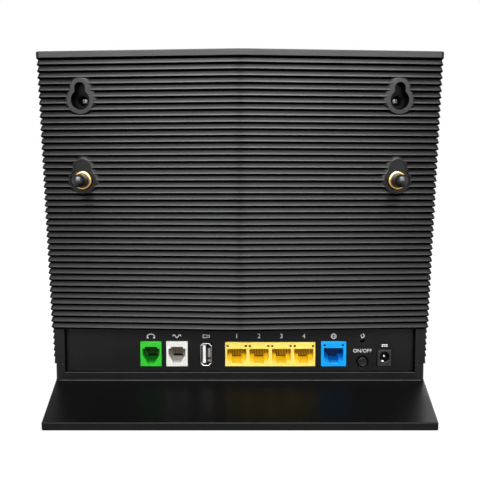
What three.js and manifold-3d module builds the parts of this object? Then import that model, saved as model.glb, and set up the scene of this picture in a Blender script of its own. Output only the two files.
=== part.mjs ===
// Upright wireless router: a ribbed rear cover folded at its middle, a smooth front cover, a recessed
// port panel, and a base tub on a flat foot plate that reaches out behind the ports.
//
// Millimetres, +Z up. The ports face -Y and the status lights face +Y. While the pieces are placed, Y = 0
// is the outer face of the port panel; the finished group is then shifted so that its origin is the middle
// of the underside. The rear face leans out over the ports, and its halves meet in a shallow fold at X = 0.
import * as THREE from "three";
import { mergeVertices } from "three/addons/utils/BufferGeometryUtils.js";
import Module from "manifold-3d";

const wasm = await Module();
wasm.setup();

// ---------------------------------------------------------------- driving sizes

const fit = 0.3; // gap left between two pieces that are assembled together
const cutOver = 1; // how far a cutting tool runs past the face that it opens
const weld = 0.2; // how far a boss is sunk into the wall that it grows from
const snug = 0.1; // gap between two pieces that are pressed together

// rubber feet and foot plate
const footProud = 0.5; // rubber showing below the foot plate
const footSink = 1.0; // rubber let into the foot plate
const footRadius = 6.5;
const footTailInset = 11; // rubber feet from the tail edge
const footFrontInset = 12; // rubber feet from the front edge
const footSideInset = 13; // rubber feet from the side edges
const plateThickness = 4.2;
const plateTaper = 13.9; // how much nearer the middle the corners of the tail edge are than the tub's sides
const plateTailReach = 75.8; // from the port panel back to the tail edge
const plateEdge = 0.4; // chamfer round both faces of the plate
const plateSkin = 1.7; // top skin left over the moulded pockets underneath
const platePocketWall = 2.2;

// base tub
const tubHeight = 10.6;
const tubStep = 1.3; // the tub and the foot plate lie this far inside the housing
const tubWall = 2;
const tubFloor = 2;
const ledgeHeight = 4.65; // ledge under the port panel, above the foot plate
const cheekReach = 4; // cheeks and ledge stand this far behind the port panel
const cheekWidth = 5.8; // of the tub's cheek, beside the port panel

// housing, both covers
const housingHeight = 186.8;
const housingTopHalfWidth = 118.5;
const housingBottomHalfWidth = 115.6;
const coverWall = 2;
const frontAtBottom = 42; // front face ahead of the port panel, at the lower edge
const frontAtTop = 10; // the same at the top
const frontCrown = 1.5; // how much the front face swells across its width
const frontCornerRadius = 6;
const partAtBottom = 26; // joint of the two covers ahead of the port panel, at the lower edge
const partAtTop = -2; // the same at the top
const topEdge = 0.6; // chamfer round the top of the housing

// ribbed rear cover
const ribPitch = 3.715;
const ribCount = 43;
const ribDepth = 1.0;
const ribLip = 1.1; // height of each rib's undercut
const topBandHeight = 4.9;
const rearCornerRadius = 2.2;
const rearAtLowestRib = -14.6; // fold line at the foot of the lowest rib
const rearLean = THREE.MathUtils.degToRad(3.6);
const foldAngle = THREE.MathUtils.degToRad(3.68);
const foldBlend = 7; // half width of the rounded fold
const ventCount = 20;
const ventPitch = 9;
const ventWidth = 2;
const ventLength = 7;

// wall-mount keyholes and stand-off studs on the rear cover
const mountInset = 25.6; // from the side of the housing at its top
const keyholeZ = 174.5;
const studZ = 128.2;
const keyholeRadius = 5.35;
const keyholeSlotRadius = 2.85;
const keyholeRise = 7.1; // from the middle of a keyhole's round up to the end of its slot
const keyholeRim = 1.8;
const keyholeHeadRoom = 3.2; // space behind the rim for the head of a wall screw
const keyholeHeadGrowth = 0.7; // how much wider that space is than the opening, all round
const keyholeFloor = 1.6;
const bossWall = 2.65; // width of the flat face round a keyhole
const bossSink = 0.1; // face of a boss below the rib crests
const bossFlank = 1.8; // how far a boss's drafted flank spreads by the root of the ribs
const studFaceDepth = 0.9; // floor of the shallow pocket round a stud, below the rib crests
const studRim = 0.5; // left standing round that pocket
const studBossDepth = 8;
const studRadius = 3.75;
const studReach = 6.7; // centre of the stud's round end above the bush
const studTail = 5; // stud inside the boss
const bushFlangeRadius = 5.6;
const bushFlange = 1.5;
const bushBarrelWall = 0.9;
const bushBarrel = 4;

// cover screws at the bottom of the keyholes
const screwHeadRadius = 2.75;
const screwHeadHeight = 2;
const screwShankRadius = 1.4;
const screwLength = 9;
const screwWellRadius = 3.1;
const screwHeadDepth = 9.4; // top of the head below the rib crests
const screwSeat = 2.4; // rear cover left under the head
const postRadius = 4.6;
const driveRadius = 1.3;
const driveDepth = 0.9;

// port panel
const panelThickness = 2;
const panelLip = 1.5; // lip round the back of the panel, behind the cheeks
const panelLipReach = 2.5;
const portProud = 0.5; // ports stand this far out of the panel
const portGap = 0.35; // gap round each port in the panel
const resetHoleRadius = 1.1;

// port board, the horizontal one
const boardThickness = 1.6;
const boardRise = 3.7; // underside of the port board above the tub's floor
const boardEndGap = 2.5; // from the ends of the board to the ends of the port panel
const boardFrontGap = 1.8; // to the tub's front wall
const pinRadius = 1.3; // locating pins through both boards
const pinRise = 1; // pins above the boards
const tubPostRadius = 4;
const tubPostRear = { inset: 7.5, row: 12 }; // from the end of the port panel, and ahead of the panel
const tubPostFront = { inset: 34.5, back: 5 }; // from the end of the panel, and from the board's front edge

// ports: the gaps between them, from the right end of the panel leftwards, and their sizes
const portSpaces = { power: 13.8, button: 6.35, wan: 7.05, lan: 3.41, usb: 8.31, dsl: 7.9, phone: 2.6 };
const phoneJack = { width: 13.6, height: 16.2, length: 18 };
const phoneCavity = { width: 9.8, height: 6.7, top: 4.9, depth: 13.5 };
const phoneContacts = { width: 6.9, height: 1.5 };
const phoneLatch = { width: 6.3, height: 1.3, tailWidth: 3.4, tailHeight: 1.7 };
const lanPitch = 13.97;
const lanPorts = 4;
const lanSideWall = 0.35; // block beyond the outer ports' own pitch
const lanHeight = 15.7;
const wanWidth = 15.8;
const wanHeight = 16.1;
const netLength = 21;
const netCavity = { width: 11.7, height: 6.9, top: 4.4, depth: 15 };
const netLatch = { width: 6.3, height: 3.4 };
const usbShell = { width: 7, height: 15, length: 14, wall: 0.5, corner: 1.6, lift: 0.6 };
const usbTongue = { thickness: 1.9, height: 11.4, length: 9.5, offset: -1.3 };
const powerJack = { width: 8.8, height: 10.8, length: 14, boreRise: 6, boreRadius: 3.15, boreDepth: 9.6 };
const powerPin = { radius: 1, length: 8.4, root: 2 };

// switches
const buttonRise = 3.6; // axis of the power button above the port board
const buttonRadius = 3.05;
const buttonHoleRadius = 3.6;
const buttonProud = 1.4;
const buttonEdge = 0.4; // rounding of a key's rim
const buttonDish = 0.45; // hollow in the button's face
const buttonTravel = 2;
const powerSwitch = { width: 8.4, height: 8.2, length: 9, face: 7.5, back: 1 };
const stemSize = 2.6;
const resetRise = 16.7; // axis of the reset key above the port board
const resetTravel = 0.4;
const tactSwitch = { width: 6, height: 6, length: 3.4 };
const resetKeyRadius = 1.5;
const resetKeyReach = 1.6;
const riser = { width: 11, height: 20.5, thickness: 1.2 };
const pairInset = 24.5; // axis of the pairing key from the end of the port panel
const pairRise = 11; // axis of the pairing key above the port board
const pairRadius = 4;
const pairProud = 0.5;
const pairTravel = 0.8;
const pairStemRadius = 1.5;
const pairCollar = { radius: 5.2, thickness: 1.4 };
const pairSwitch = { width: 7, height: 14.2, length: 5, back: 9 };

// status lights
const lightCount = 8;
const lightPitch = 11;
const lightWidth = 1.6;
const lightHeight = 4;
const lightBar = { thickness: 3, height: 7, back: 3.5, legWidth: 3 };

// logic board, the upright one, parallel to the front face
const logicHalfWidth = 82;
const logicBottom = 30; // along the front face, from the lower edge of the housing
const logicHeight = 118;
const logicBack = 12; // from the front face to the board
const logicPostRadius = 3.4;
const logicPostInset = 7;

// parts on the logic board: width, height and thickness above the board
const mainChip = { x: -28, up: 62, width: 24, height: 24, thickness: 2 };
const thermalPad = 1;
const heatSink = { width: 46, height: 46, base: 2.4, fin: 1.3, finHeight: 8, fins: 9 };
const memoryChip = { x: 12, up: 62, width: 9, height: 13, thickness: 1.2 };
const shield = { x: 48, width: 44, thickness: 3.4, margin: 14, gap: 10 }; // margins to the board's ends
const shieldStep = 1; // raised centre of a shield can's lid, in from its edge
// parts on the port board: aside is the distance along the board from the jack that each one serves
const lanTransformer = { aside: -8.9, width: 30, depth: 8.6, height: 6 };
const wanTransformer = { aside: -8.5, width: 16, depth: 8.6, height: 6 };
const dslTransformer = { aside: -6.6, width: 14, depth: 10, height: 11 };
const smallCapacitor = { aside: 7.5, radius: 4, height: 13 };
const largeCapacitor = { aside: -8.4, radius: 5, height: 16 };
const inductor = { aside: -26.4, radius: 6, height: 5, waist: 4.8, lip: 1 };
const partsGap = 6.5; // from the backs of the network jacks to the middle of the row of parts
const ribbon = { aside: -2.8, width: 22, thickness: 0.4, inSocket: 1.6 };
const ribbonSocket = { width: 26, depth: 3, height: 4 };
const ribbonGap = 5; // from the row of parts to the socket on the port board
const ribbonUp = 5; // socket on the logic board, above that board's lower edge

// antennas, stuck inside the front cover above the logic board, and their leads
const antenna = { width: 36, height: 12, thickness: 0.6, up: 163 };
const antennaCount = 4;
const antennaInset = 52.5; // middles of the outer antennas from the sides of the housing at its top
const leadRadius = 0.6;
const leadPlug = { radius: 1.6, height: 1.3, down: 5 }; // down: below the logic board's top edge

// screws that hold the tub to the foot plate
const baseScrew = { headRadius: 2.8, headHeight: 1.5, shankRadius: 1.4, length: 7 };

// ---------------------------------------------------------------- levels and faces worked out from them

const plateBottom = footProud;
const plateTop = plateBottom + plateThickness;
const tubTop = plateTop + tubHeight;
const tubHalfWidth = housingBottomHalfWidth - tubStep;
const plateTailHalfWidth = tubHalfWidth - plateTaper;
const panelHalfWidth = tubHalfWidth - cheekWidth; // half of the opening between the cheeks
const mountX = housingTopHalfWidth - mountInset; // of the keyholes and of the studs
const tubFloorTop = plateTop + tubFloor;
const ledgeTop = plateTop + ledgeHeight;
const housingBottom = tubTop + fit;
const housingTop = housingBottom + housingHeight;
const ribTop = housingTop - topBandHeight;
const ribBottom = ribTop - ribCount * ribPitch; // lower edge of the rear face, over the port panel
const boardBottom = tubFloorTop + boardRise;
const boardTop = boardBottom + boardThickness;
const frontLean = Math.atan2(frontAtBottom - frontAtTop, housingHeight);
const keyholeDepth = keyholeRim + keyholeHeadRoom + keyholeFloor;

const upHousing = (z) => (z - housingBottom) / housingHeight;
const halfWidthAt = (z) => THREE.MathUtils.lerp(housingBottomHalfWidth, housingTopHalfWidth, upHousing(z));
const frontAt = (z) => THREE.MathUtils.lerp(frontAtBottom, frontAtTop, upHousing(z));
const partAt = (z) => THREE.MathUtils.lerp(partAtBottom, partAtTop, upHousing(z));
const foldAt = (z) => rearAtLowestRib - (z - ribBottom) * Math.tan(rearLean);
const rearAt = (x, z) => foldAt(z) + Math.abs(x) * Math.tan(foldAngle);
const tubFrontAt = (z) => frontAt(z) - tubStep;

const panelDeep = panelThickness + fit + panelLip; // back of the panel's lip
const boardRear = panelDeep + fit;
const boardFront = tubFrontAt(boardTop) - tubWall - boardFrontGap;
const boardHalfWidth = panelHalfWidth - boardEndGap;

const lanWidth = lanPorts * lanPitch + 2 * lanSideWall;
const powerX = panelHalfWidth - portSpaces.power - powerJack.width / 2;
const buttonX = powerX - powerJack.width / 2 - portSpaces.button - buttonRadius;
const wanX = buttonX - buttonRadius - portSpaces.wan - wanWidth / 2;
const lanX = wanX - wanWidth / 2 - portSpaces.lan - lanWidth / 2;
const usbX = lanX - lanWidth / 2 - portSpaces.usb - usbShell.width / 2;
const dslX = usbX - usbShell.width / 2 - portSpaces.dsl - phoneJack.width / 2;
const phoneX = dslX - phoneJack.width - portSpaces.phone;
const partsRow = netLength - portProud + partsGap;
const ribbonRow = partsRow + ribbonGap;

// ---------------------------------------------------------------- solids

const toSolid = (geometry) => {
  const bare = geometry.clone();
  bare.deleteAttribute("normal");
  bare.deleteAttribute("uv");
  const merged = mergeVertices(bare, 1e-4);
  const vertProperties = merged.attributes.position.array;
  const triVerts = new Uint32Array(merged.index.array);
  return new wasm.Manifold(new wasm.Mesh({ numProp: 3, vertProperties, triVerts }));
};

const toGeometry = (solid) => {
  const { vertProperties, triVerts } = solid.getMesh();
  const geometry = new THREE.BufferGeometry();
  geometry.setAttribute("position", new THREE.BufferAttribute(new Float32Array(vertProperties), 3));
  geometry.setIndex(new THREE.BufferAttribute(new Uint32Array(triVerts), 1));
  geometry.computeVertexNormals();
  return geometry;
};

const joined = (...solids) => solids.reduce((all, solid) => all.add(solid));
const less = (solid, ...cutters) => cutters.reduce((left, cutter) => left.subtract(cutter), solid);

// A box between two corners.
const block = ([x0, y0, z0], [x1, y1, z1]) => {
  const geometry = new THREE.BoxGeometry(x1 - x0, y1 - y0, z1 - z0);
  return toSolid(geometry.translate((x0 + x1) / 2, (y0 + y1) / 2, (z0 + z1) / 2));
};

// A solid of revolution about Z from [radius, height] pairs, closed on the axis.
const turned = (profile, sides = 20) => {
  const points = profile.map(([radius, height]) => new THREE.Vector2(radius, height));
  return toSolid(new THREE.LatheGeometry(points, sides).rotateX(Math.PI / 2));
};

const rod = (radius, from, to, sides = 16) =>
  turned([[0, from], [radius, from], [radius, to], [0, to]], sides);

// Turns a solid made along Z so that its top faces -Y, the side of the ports, at the point given.
const facingRear = new THREE.Matrix4().makeRotationX(Math.PI / 2);
const moved = (solid, matrix) => toSolid(toGeometry(solid).applyMatrix4(matrix));
const rearward = (solid, x, y, z) => moved(solid, facingRear.clone().setPosition(x, y, z));
const facingFront = new THREE.Matrix4().makeRotationX(-Math.PI / 2);
const forward = (solid, x, y, z) => moved(solid, facingFront.clone().setPosition(x, y, z));

// Turns a solid drawn out from a [y, z] outline so that its length lies along X.
const alongX = new THREE.Matrix4().makeBasis(
  new THREE.Vector3(0, 1, 0),
  new THREE.Vector3(0, 0, 1),
  new THREE.Vector3(1, 0, 0),
);

// An outline of [x, y] points, drawn out along Z.
const drawnOut = (points, from, to) => {
  const shape = new THREE.Shape(points.map(([x, y]) => new THREE.Vector2(x, y)));
  const geometry = new THREE.ExtrudeGeometry(shape, { depth: to - from, bevelEnabled: false });
  return toSolid(geometry.translate(0, 0, from));
};

// A skin through rings of [x, y] points, each at its own height, closed at both ends.
const lofted = (levels) => {
  const count = levels[0].ring.length;
  const position = levels.flatMap(({ ring, z }) => ring.flatMap(([x, y]) => [x, y, z]));
  const index = [];
  for (let level = 0; level + 1 < levels.length; level++) {
    for (let i = 0; i < count; i++) {
      const a = level * count + i;
      const b = level * count + ((i + 1) % count);
      index.push(a, b, b + count, a, b + count, a + count);
    }
  }
  const cap = (ring) => THREE.ShapeUtils.triangulateShape(ring.map(([x, y]) => new THREE.Vector2(x, y)), []);
  const last = (levels.length - 1) * count;
  for (const [a, b, c] of cap(levels[0].ring)) index.push(a, c, b);
  for (const [a, b, c] of cap(levels.at(-1).ring)) index.push(last + a, last + b, last + c);
  const geometry = new THREE.BufferGeometry();
  geometry.setAttribute("position", new THREE.Float32BufferAttribute(position, 3));
  return toSolid(geometry.setIndex(index));
};

// Points of an arc, both ends included; angles in radians, anticlockwise.
const arc = (x, y, radius, from, to, steps) =>
  Array.from({ length: steps + 1 }, (_, i) => {
    const angle = from + ((to - from) * i) / steps;
    return [x + radius * Math.cos(angle), y + radius * Math.sin(angle)];
  });

// ---------------------------------------------------------------- the object's group and its finishes

const router = new THREE.Group();
const finish = (color, roughness, metalness = 0) =>
  new THREE.MeshStandardMaterial({ color, roughness, metalness });
const housingBlack = finish(0x1b1b1c, 0.5);
const panelBlack = finish(0x161617, 0.55);
const rubberBlack = finish(0x121212, 0.85);
const studBlack = finish(0x101011, 0.25);
const jackGreen = finish(0x1fbf3a, 0.45);
const jackWhite = finish(0xe8e6e0, 0.45);
const jackYellow = finish(0xf2cf3a, 0.45);
const jackBlue = finish(0x0a93ea, 0.45);
const brass = finish(0xc8963c, 0.25, 1);
const steel = finish(0xb9bbbd, 0.35, 1);
const aluminium = finish(0x9ea1a5, 0.45, 1);
const boardGreen = finish(0x14532d, 0.5);
const chipBlack = finish(0x1f1f20, 0.6);
const padGrey = finish(0x7d838a, 0.8);
const clear = finish(0xdfe6ea, 0.15);
const ribbonWhite = finish(0xd9d9d4, 0.6);

const named = (name, solid, material, parent = router) => {
  const mesh = new THREE.Mesh(toGeometry(solid), material);
  mesh.name = name;
  parent.add(mesh);
  return mesh;
};

const sides = [
  { side: "left", sign: -1 },
  { side: "right", sign: 1 },
];

// ---------------------------------------------------------------- foot plate, rubber feet and base screws

const plateFront = tubFrontAt(plateTop);
const plateOutline = (inset) => {
  const halfWidth = tubHalfWidth - inset;
  const tailHalfWidth = plateTailHalfWidth - inset;
  const front = plateFront - inset;
  const radius = frontCornerRadius - inset;
  return [
    [-halfWidth, -cheekReach],
    [-tailHalfWidth, -plateTailReach + inset],
    [tailHalfWidth, -plateTailReach + inset],
    [halfWidth, -cheekReach],
    ...arc(halfWidth - radius, front - radius, radius, 0, Math.PI / 2, 5),
    ...arc(radius - halfWidth, front - radius, radius, Math.PI / 2, Math.PI, 5),
  ];
};

const tailFoot = { x: plateTailHalfWidth - footSideInset, y: footTailInset - plateTailReach };
const frontFoot = { x: tubHalfWidth - footSideInset, y: plateFront - footFrontInset };
const rubberFeet = sides.flatMap(({ side, sign }) => [
  { name: `rubber_foot_tail_${side}`, x: sign * tailFoot.x, y: tailFoot.y },
  { name: `rubber_foot_front_${side}`, x: sign * frontFoot.x, y: frontFoot.y },
]);

const tubPosts = [
  { row: "rear", x: panelHalfWidth - tubPostRear.inset, y: tubPostRear.row },
  { row: "front", x: panelHalfWidth - tubPostFront.inset, y: boardFront - tubPostFront.back },
];
const baseScrews = sides.flatMap(({ side, sign }) =>
  tubPosts.map(({ row, x, y }) => ({ name: `base_screw_${row}_${side}`, x: sign * x, y })),
);

// Three moulded pockets under the reach of the foot, with ribs left between them.
const platePockets = () => {
  const back = footTailInset + footRadius + platePocketWall - plateTailReach;
  const front = -cheekReach - platePocketWall;
  const halfWidth = plateTailHalfWidth - platePocketWall;
  const step = (2 * halfWidth + platePocketWall) / 3;
  return [0, 1, 2].map((i) => {
    const left = -halfWidth + i * step;
    const right = left + step - platePocketWall;
    return block([left, back, plateBottom - cutOver], [right, front, plateTop - plateSkin]);
  });
};

const footPlate = () => {
  const level = (inset, z) => ({ ring: plateOutline(inset), z });
  const slab = lofted([
    level(plateEdge, plateBottom),
    level(0, plateBottom + plateEdge),
    level(0, plateTop - plateEdge),
    level(plateEdge, plateTop),
  ]);
  const sockets = rubberFeet.map(({ x, y }) =>
    rod(footRadius + fit, plateBottom - cutOver, plateBottom + footSink).translate(x, y, 0),
  );
  const screwHoles = baseScrews.map(({ x, y }) =>
    joined(
      rod(baseScrew.headRadius + fit, plateBottom - cutOver, plateBottom + fit + baseScrew.headHeight),
      rod(baseScrew.shankRadius + fit, plateBottom, plateTop + cutOver, 8),
    ).translate(x, y, 0),
  );
  return less(slab, ...sockets, ...screwHoles, ...platePockets());
};

named("foot_plate", footPlate(), housingBlack);

for (const { name, x, y } of rubberFeet) {
  const edge = footProud / 2;
  const top = footProud + footSink;
  const pad = turned([[0, 0], [footRadius - edge, 0], [footRadius, edge], [footRadius, top], [0, top]]);
  named(name, pad, rubberBlack).position.set(x, y, 0);
}

// A screw with its head's top at height 0 and its shank pointing up; the driver's recess opens downwards.
const upwardScrew = () => {
  const { headRadius, headHeight, shankRadius, length } = baseScrew;
  const head = [[0, 0], [headRadius, 0], [headRadius, headHeight]];
  const shank = [[shankRadius, headHeight], [shankRadius, length], [0, length + shankRadius / 2]];
  const body = turned([...head, ...shank], 12);
  return body.subtract(rod(driveRadius, -cutOver, driveDepth, 6));
};

for (const { name, x, y } of baseScrews) {
  named(name, upwardScrew(), steel).position.set(x, y, plateBottom);
}

// ---------------------------------------------------------------- base tub

// Outline of the tub at a height: flat at the rear, round at the front corners.
const tubOutline = (z, inset) => {
  const halfWidth = tubHalfWidth - inset;
  const front = tubFrontAt(z) - inset;
  const radius = frontCornerRadius - inset;
  const rearRadius = Math.max(rearCornerRadius - inset, 0.2);
  const rear = inset - cheekReach;
  return [
    ...arc(rearRadius - halfWidth, rear + rearRadius, rearRadius, Math.PI, 1.5 * Math.PI, 3),
    ...arc(halfWidth - rearRadius, rear + rearRadius, rearRadius, 1.5 * Math.PI, 2 * Math.PI, 3),
    ...arc(halfWidth - radius, front - radius, radius, 0, Math.PI / 2, 5),
    ...arc(radius - halfWidth, front - radius, radius, Math.PI / 2, Math.PI, 5),
  ];
};

const baseTub = () => {
  const level = (inset) => (z) => ({ ring: tubOutline(z, inset), z });
  const outside = lofted([plateTop, tubTop].map(level(0)));
  const inside = lofted([tubFloorTop, tubTop + cutOver].map(level(tubWall)));
  const panelOpening = block(
    [-panelHalfWidth, -cheekReach - cutOver, ledgeTop],
    [panelHalfWidth, panelThickness + cutOver, tubTop + cutOver],
  );
  const ledge = block(
    [-panelHalfWidth, weld - cheekReach, plateTop + weld],
    [panelHalfWidth, panelThickness, ledgeTop],
  );
  const posts = baseScrews.map(({ x, y }) =>
    less(
      joined(
        rod(tubPostRadius, plateTop + weld, boardBottom - fit),
        rod(pinRadius, boardBottom - fit - weld, boardTop + pinRise, 8),
      ),
      rod(baseScrew.shankRadius + fit, plateTop - cutOver, plateBottom + baseScrew.length + 2 * fit, 8),
    ).translate(x, y, 0),
  );
  const screwWays = baseScrews.map(({ x, y }) =>
    rod(baseScrew.shankRadius + fit, plateTop - cutOver, tubFloorTop + weld, 8).translate(x, y, 0),
  );
  return joined(less(outside, inside, panelOpening, ...screwWays).add(ledge), ...posts);
};

named("base_tub", baseTub(), housingBlack);

// ---------------------------------------------------------------- rear cover

// Outline of the ribbed part of the housing at a height, pushed in by inset on its rear and sides.
const rearOutline = (z, inset) => {
  const halfWidth = halfWidthAt(z) - inset;
  const fold = foldAt(z) + inset / Math.cos(foldAngle);
  const slope = Math.tan(foldAngle);
  const radius = rearCornerRadius;
  const turn = Math.PI / 2 - foldAngle; // how far the outline turns at each rear corner
  const cornerY = fold + (halfWidth - radius) * slope + radius / Math.cos(foldAngle);
  const foldPoint = (x) => [x, fold + (x * x + foldBlend * foldBlend) * (slope / (2 * foldBlend))];
  return [
    [-halfWidth, partAt(z)],
    ...arc(radius - halfWidth, cornerY, radius, Math.PI, Math.PI + turn, 2),
    ...[-1, 0, 1].map((share) => foldPoint(share * foldBlend)),
    ...arc(halfWidth - radius, cornerY, radius, 2 * Math.PI - turn, 2 * Math.PI, 2),
    [halfWidth, partAt(z)],
  ];
};

// Outline of the lower part, where the rear face is cut back to the cheeks beside the port panel.
const cheekOutline = (z, inset) => {
  const halfWidth = halfWidthAt(z) - inset;
  const radius = rearCornerRadius / 2;
  return [
    [-halfWidth, partAt(z)],
    ...arc(radius - halfWidth, radius - cheekReach, radius, Math.PI, 1.5 * Math.PI, 2),
    ...arc(halfWidth - radius, radius - cheekReach, radius, 1.5 * Math.PI, 2 * Math.PI, 2),
    [halfWidth, partAt(z)],
  ];
};

// Levels of a stack of overlapping-board ribs: each one is undercut at its foot and slopes back to the next.
const ribLevels = (outline, from, count) => {
  const rings = [];
  for (let k = 0; k < count; k++) {
    const foot = from + k * ribPitch;
    rings.push({ ring: outline(foot, ribDepth), z: foot });
    rings.push({ ring: outline(foot + ribLip, 0), z: foot + ribLip });
  }
  const top = from + count * ribPitch;
  rings.push({ ring: outline(top, ribDepth), z: top });
  return rings;
};

// Frame on the rear face's crest plane at a point: X' along the face, Y' up it, Z' straight out of it.
const rearFrame = (x, z) => {
  const outward = new THREE.Vector3(Math.sign(x) * Math.tan(foldAngle), -1, -Math.tan(rearLean)).normalize();
  const along = new THREE.Vector3(1, Math.sign(x) * Math.tan(foldAngle), 0).normalize();
  const up = new THREE.Vector3().crossVectors(outward, along);
  return new THREE.Matrix4().makeBasis(along, up, outward).setPosition(x, rearAt(x, z), z);
};

const keyholeFrames = sides.map(({ side, sign }) => ({ side, frame: rearFrame(sign * mountX, keyholeZ) }));
const studFrames = sides.map(({ side, sign }) => ({ side, frame: rearFrame(sign * mountX, studZ) }));

// Outline of a keyhole grown by an offset: a round lobe, shoulders at 45 degrees, and a slot above them.
const keyholeOutline = (offset) => {
  const lobe = keyholeRadius + offset;
  const slot = keyholeSlotRadius + offset;
  const shoulder = lobe * Math.SQRT2 - slot; // height at which the shoulders meet the slot
  return [
    [slot, shoulder],
    ...arc(0, keyholeRise, slot, 0, Math.PI, 5),
    [-slot, shoulder],
    ...arc(0, 0, lobe, 0.75 * Math.PI, 2.25 * Math.PI, 9),
  ];
};

// A boss nearly flush with the crests, whose drafted flank spreads down over the ribs to their root.
const boss = (depth) => {
  const root = ribDepth + weld;
  const spread = (bossFlank * (root - bossSink)) / (ribDepth - bossSink);
  return lofted([
    { ring: keyholeOutline(bossWall), z: -depth },
    { ring: keyholeOutline(bossWall), z: -ribDepth - coverWall / 2 },
    { ring: keyholeOutline(bossWall + spread), z: -root },
    { ring: keyholeOutline(bossWall), z: -bossSink },
  ]);
};

// A keyhole opening, room behind it for a screw head, and the well of the cover screw in its floor.
const keyholeCut = () => {
  const opening = drawnOut(keyholeOutline(0), -keyholeRim - weld, cutOver);
  const headRoom = drawnOut(keyholeOutline(keyholeHeadGrowth), -keyholeRim - keyholeHeadRoom, -keyholeRim);
  const wellFloor = -screwHeadDepth - screwHeadHeight;
  const well = rod(screwWellRadius, wellFloor, -keyholeRim);
  const shankWay = rod(screwShankRadius + fit, wellFloor - screwSeat - cutOver, -keyholeRim, 12);
  return joined(opening, headRoom, well, shankWay);
};

const screwPostEnd = screwHeadDepth + screwHeadHeight + screwSeat;

// Rows of air slots through the top wall of the rear cover.
const topVents = () => {
  const middle = (foldAt(housingTop) + partAt(housingTop)) / 2 + ribDepth;
  return Array.from({ length: ventCount }, (_, i) => {
    const x = (i - (ventCount - 1) / 2) * ventPitch;
    const back = middle + Math.abs(x) * Math.tan(foldAngle) * 0.5 - ventLength / 2;
    return block(
      [x - ventWidth / 2, back, housingTop - coverWall - topEdge - cutOver],
      [x + ventWidth / 2, back + ventLength, housingTop + cutOver],
    );
  });
};

// Moves the first and last points of an open outline along Y.
const pastEnds = (ring, step) => {
  const last = ring.length - 1;
  return ring.map(([x, y], i) => (i === 0 || i === last ? [x, y + step] : [x, y]));
};

const rearCover = () => {
  const band = [
    { ring: rearOutline(ribTop + ribLip, 0), z: ribTop + ribLip },
    { ring: rearOutline(housingTop - topEdge, 0), z: housingTop - topEdge },
    { ring: rearOutline(housingTop, topEdge), z: housingTop },
  ];
  const upper = lofted([...ribLevels(rearOutline, ribBottom, ribCount), ...band]);
  const sideRibs = Math.floor((ribBottom - housingBottom) / ribPitch);
  const lowestRib = ribBottom - sideRibs * ribPitch;
  const lower = lofted([
    { ring: cheekOutline(housingBottom, ribDepth / 2), z: housingBottom },
    ...ribLevels(cheekOutline, lowestRib, sideRibs),
  ]);
  // Both hollows run on past the joint with the front cover, which leaves the rear cover open there.
  const skin = ribDepth + coverWall;
  const ceiling = ribBottom + coverWall;
  const openRing = (z) => pastEnds(rearOutline(z, skin), cutOver);
  const upperHollow = lofted([ceiling, housingTop - coverWall].map((z) => ({ ring: openRing(z), z })));
  const lowerHalf = halfWidthAt(housingBottom) - skin;
  const lowerHollow = block(
    [-lowerHalf, panelThickness, housingBottom - cutOver],
    [lowerHalf, partAtBottom + cutOver, ceiling + weld],
  );
  const panelOpening = block(
    [-panelHalfWidth, foldAt(ribBottom) - cutOver, housingBottom - cutOver],
    [panelHalfWidth, panelThickness + weld, ribBottom],
  );
  const shell = less(upper.add(lower), upperHollow, lowerHollow, panelOpening, ...topVents());

  const screwPost = rod(postRadius, -screwPostEnd, weld - keyholeDepth);
  const keyholeBosses = keyholeFrames.map(({ frame }) => moved(joined(boss(keyholeDepth), screwPost), frame));
  const studBosses = studFrames.map(({ frame }) => moved(boss(studFaceDepth + studBossDepth), frame));
  const pocket = drawnOut(keyholeOutline(bossWall - studRim), -studFaceDepth, cutOver);
  const bore = rod(studRadius + bushBarrelWall + 2 * fit, -studFaceDepth - bushFlange - studTail, cutOver);
  const studCuts = studFrames.map(({ frame }) => moved(joined(pocket, bore), frame));
  const keyholeCuts = keyholeFrames.map(({ frame }) => moved(keyholeCut(), frame));
  return less(joined(shell, ...keyholeBosses, ...studBosses), ...studCuts, ...keyholeCuts);
};

named("rear_cover", rearCover(), housingBlack);

// ---------------------------------------------------------------- stand-off studs and cover screws

const bush = () => {
  const bore = studRadius + fit;
  const barrel = bore + bushBarrelWall;
  const edge = bushFlange / 3;
  return turned([
    [bore, -bushBarrel],
    [barrel, -bushBarrel],
    [barrel, 0],
    [bushFlangeRadius, 0],
    [bushFlangeRadius, bushFlange - edge],
    [bushFlangeRadius - edge, bushFlange],
    [bore, bushFlange],
    [bore, -bushBarrel],
  ], 24);
};

const stud = () => {
  const tip = bushFlange + studReach;
  const dome = arc(0, tip, studRadius, 0, Math.PI / 2, 5).slice(0, -1);
  return turned([[0, -studTail], [studRadius, -studTail], ...dome, [0, tip + studRadius]], 20);
};

const rearScrew = () => {
  const dome = screwHeadHeight * 0.6;
  const body = turned([
    [0, -screwHeadHeight - screwLength],
    [screwShankRadius, -screwHeadHeight - screwLength + screwShankRadius],
    [screwShankRadius, -screwHeadHeight],
    [screwHeadRadius, -screwHeadHeight],
    [screwHeadRadius, -dome],
    [screwHeadRadius * 0.7, 0],
    [0, 0],
  ], 20);
  return body.subtract(rod(driveRadius, -driveDepth, cutOver, 6));
};

for (const { side, frame } of studFrames) {
  const seat = new THREE.Matrix4().makeTranslation(0, 0, fit - studFaceDepth);
  const place = frame.clone().multiply(seat);
  named(`standoff_bush_${side}`, bush(), brass).applyMatrix4(place);
  named(`standoff_stud_${side}`, stud(), studBlack).applyMatrix4(place);
}

for (const { side, frame } of keyholeFrames) {
  const seat = new THREE.Matrix4().makeTranslation(0, 0, fit - screwHeadDepth);
  named(`cover_screw_${side}`, rearScrew(), steel).applyMatrix4(frame.clone().multiply(seat));
}

// ---------------------------------------------------------------- front cover

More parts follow.
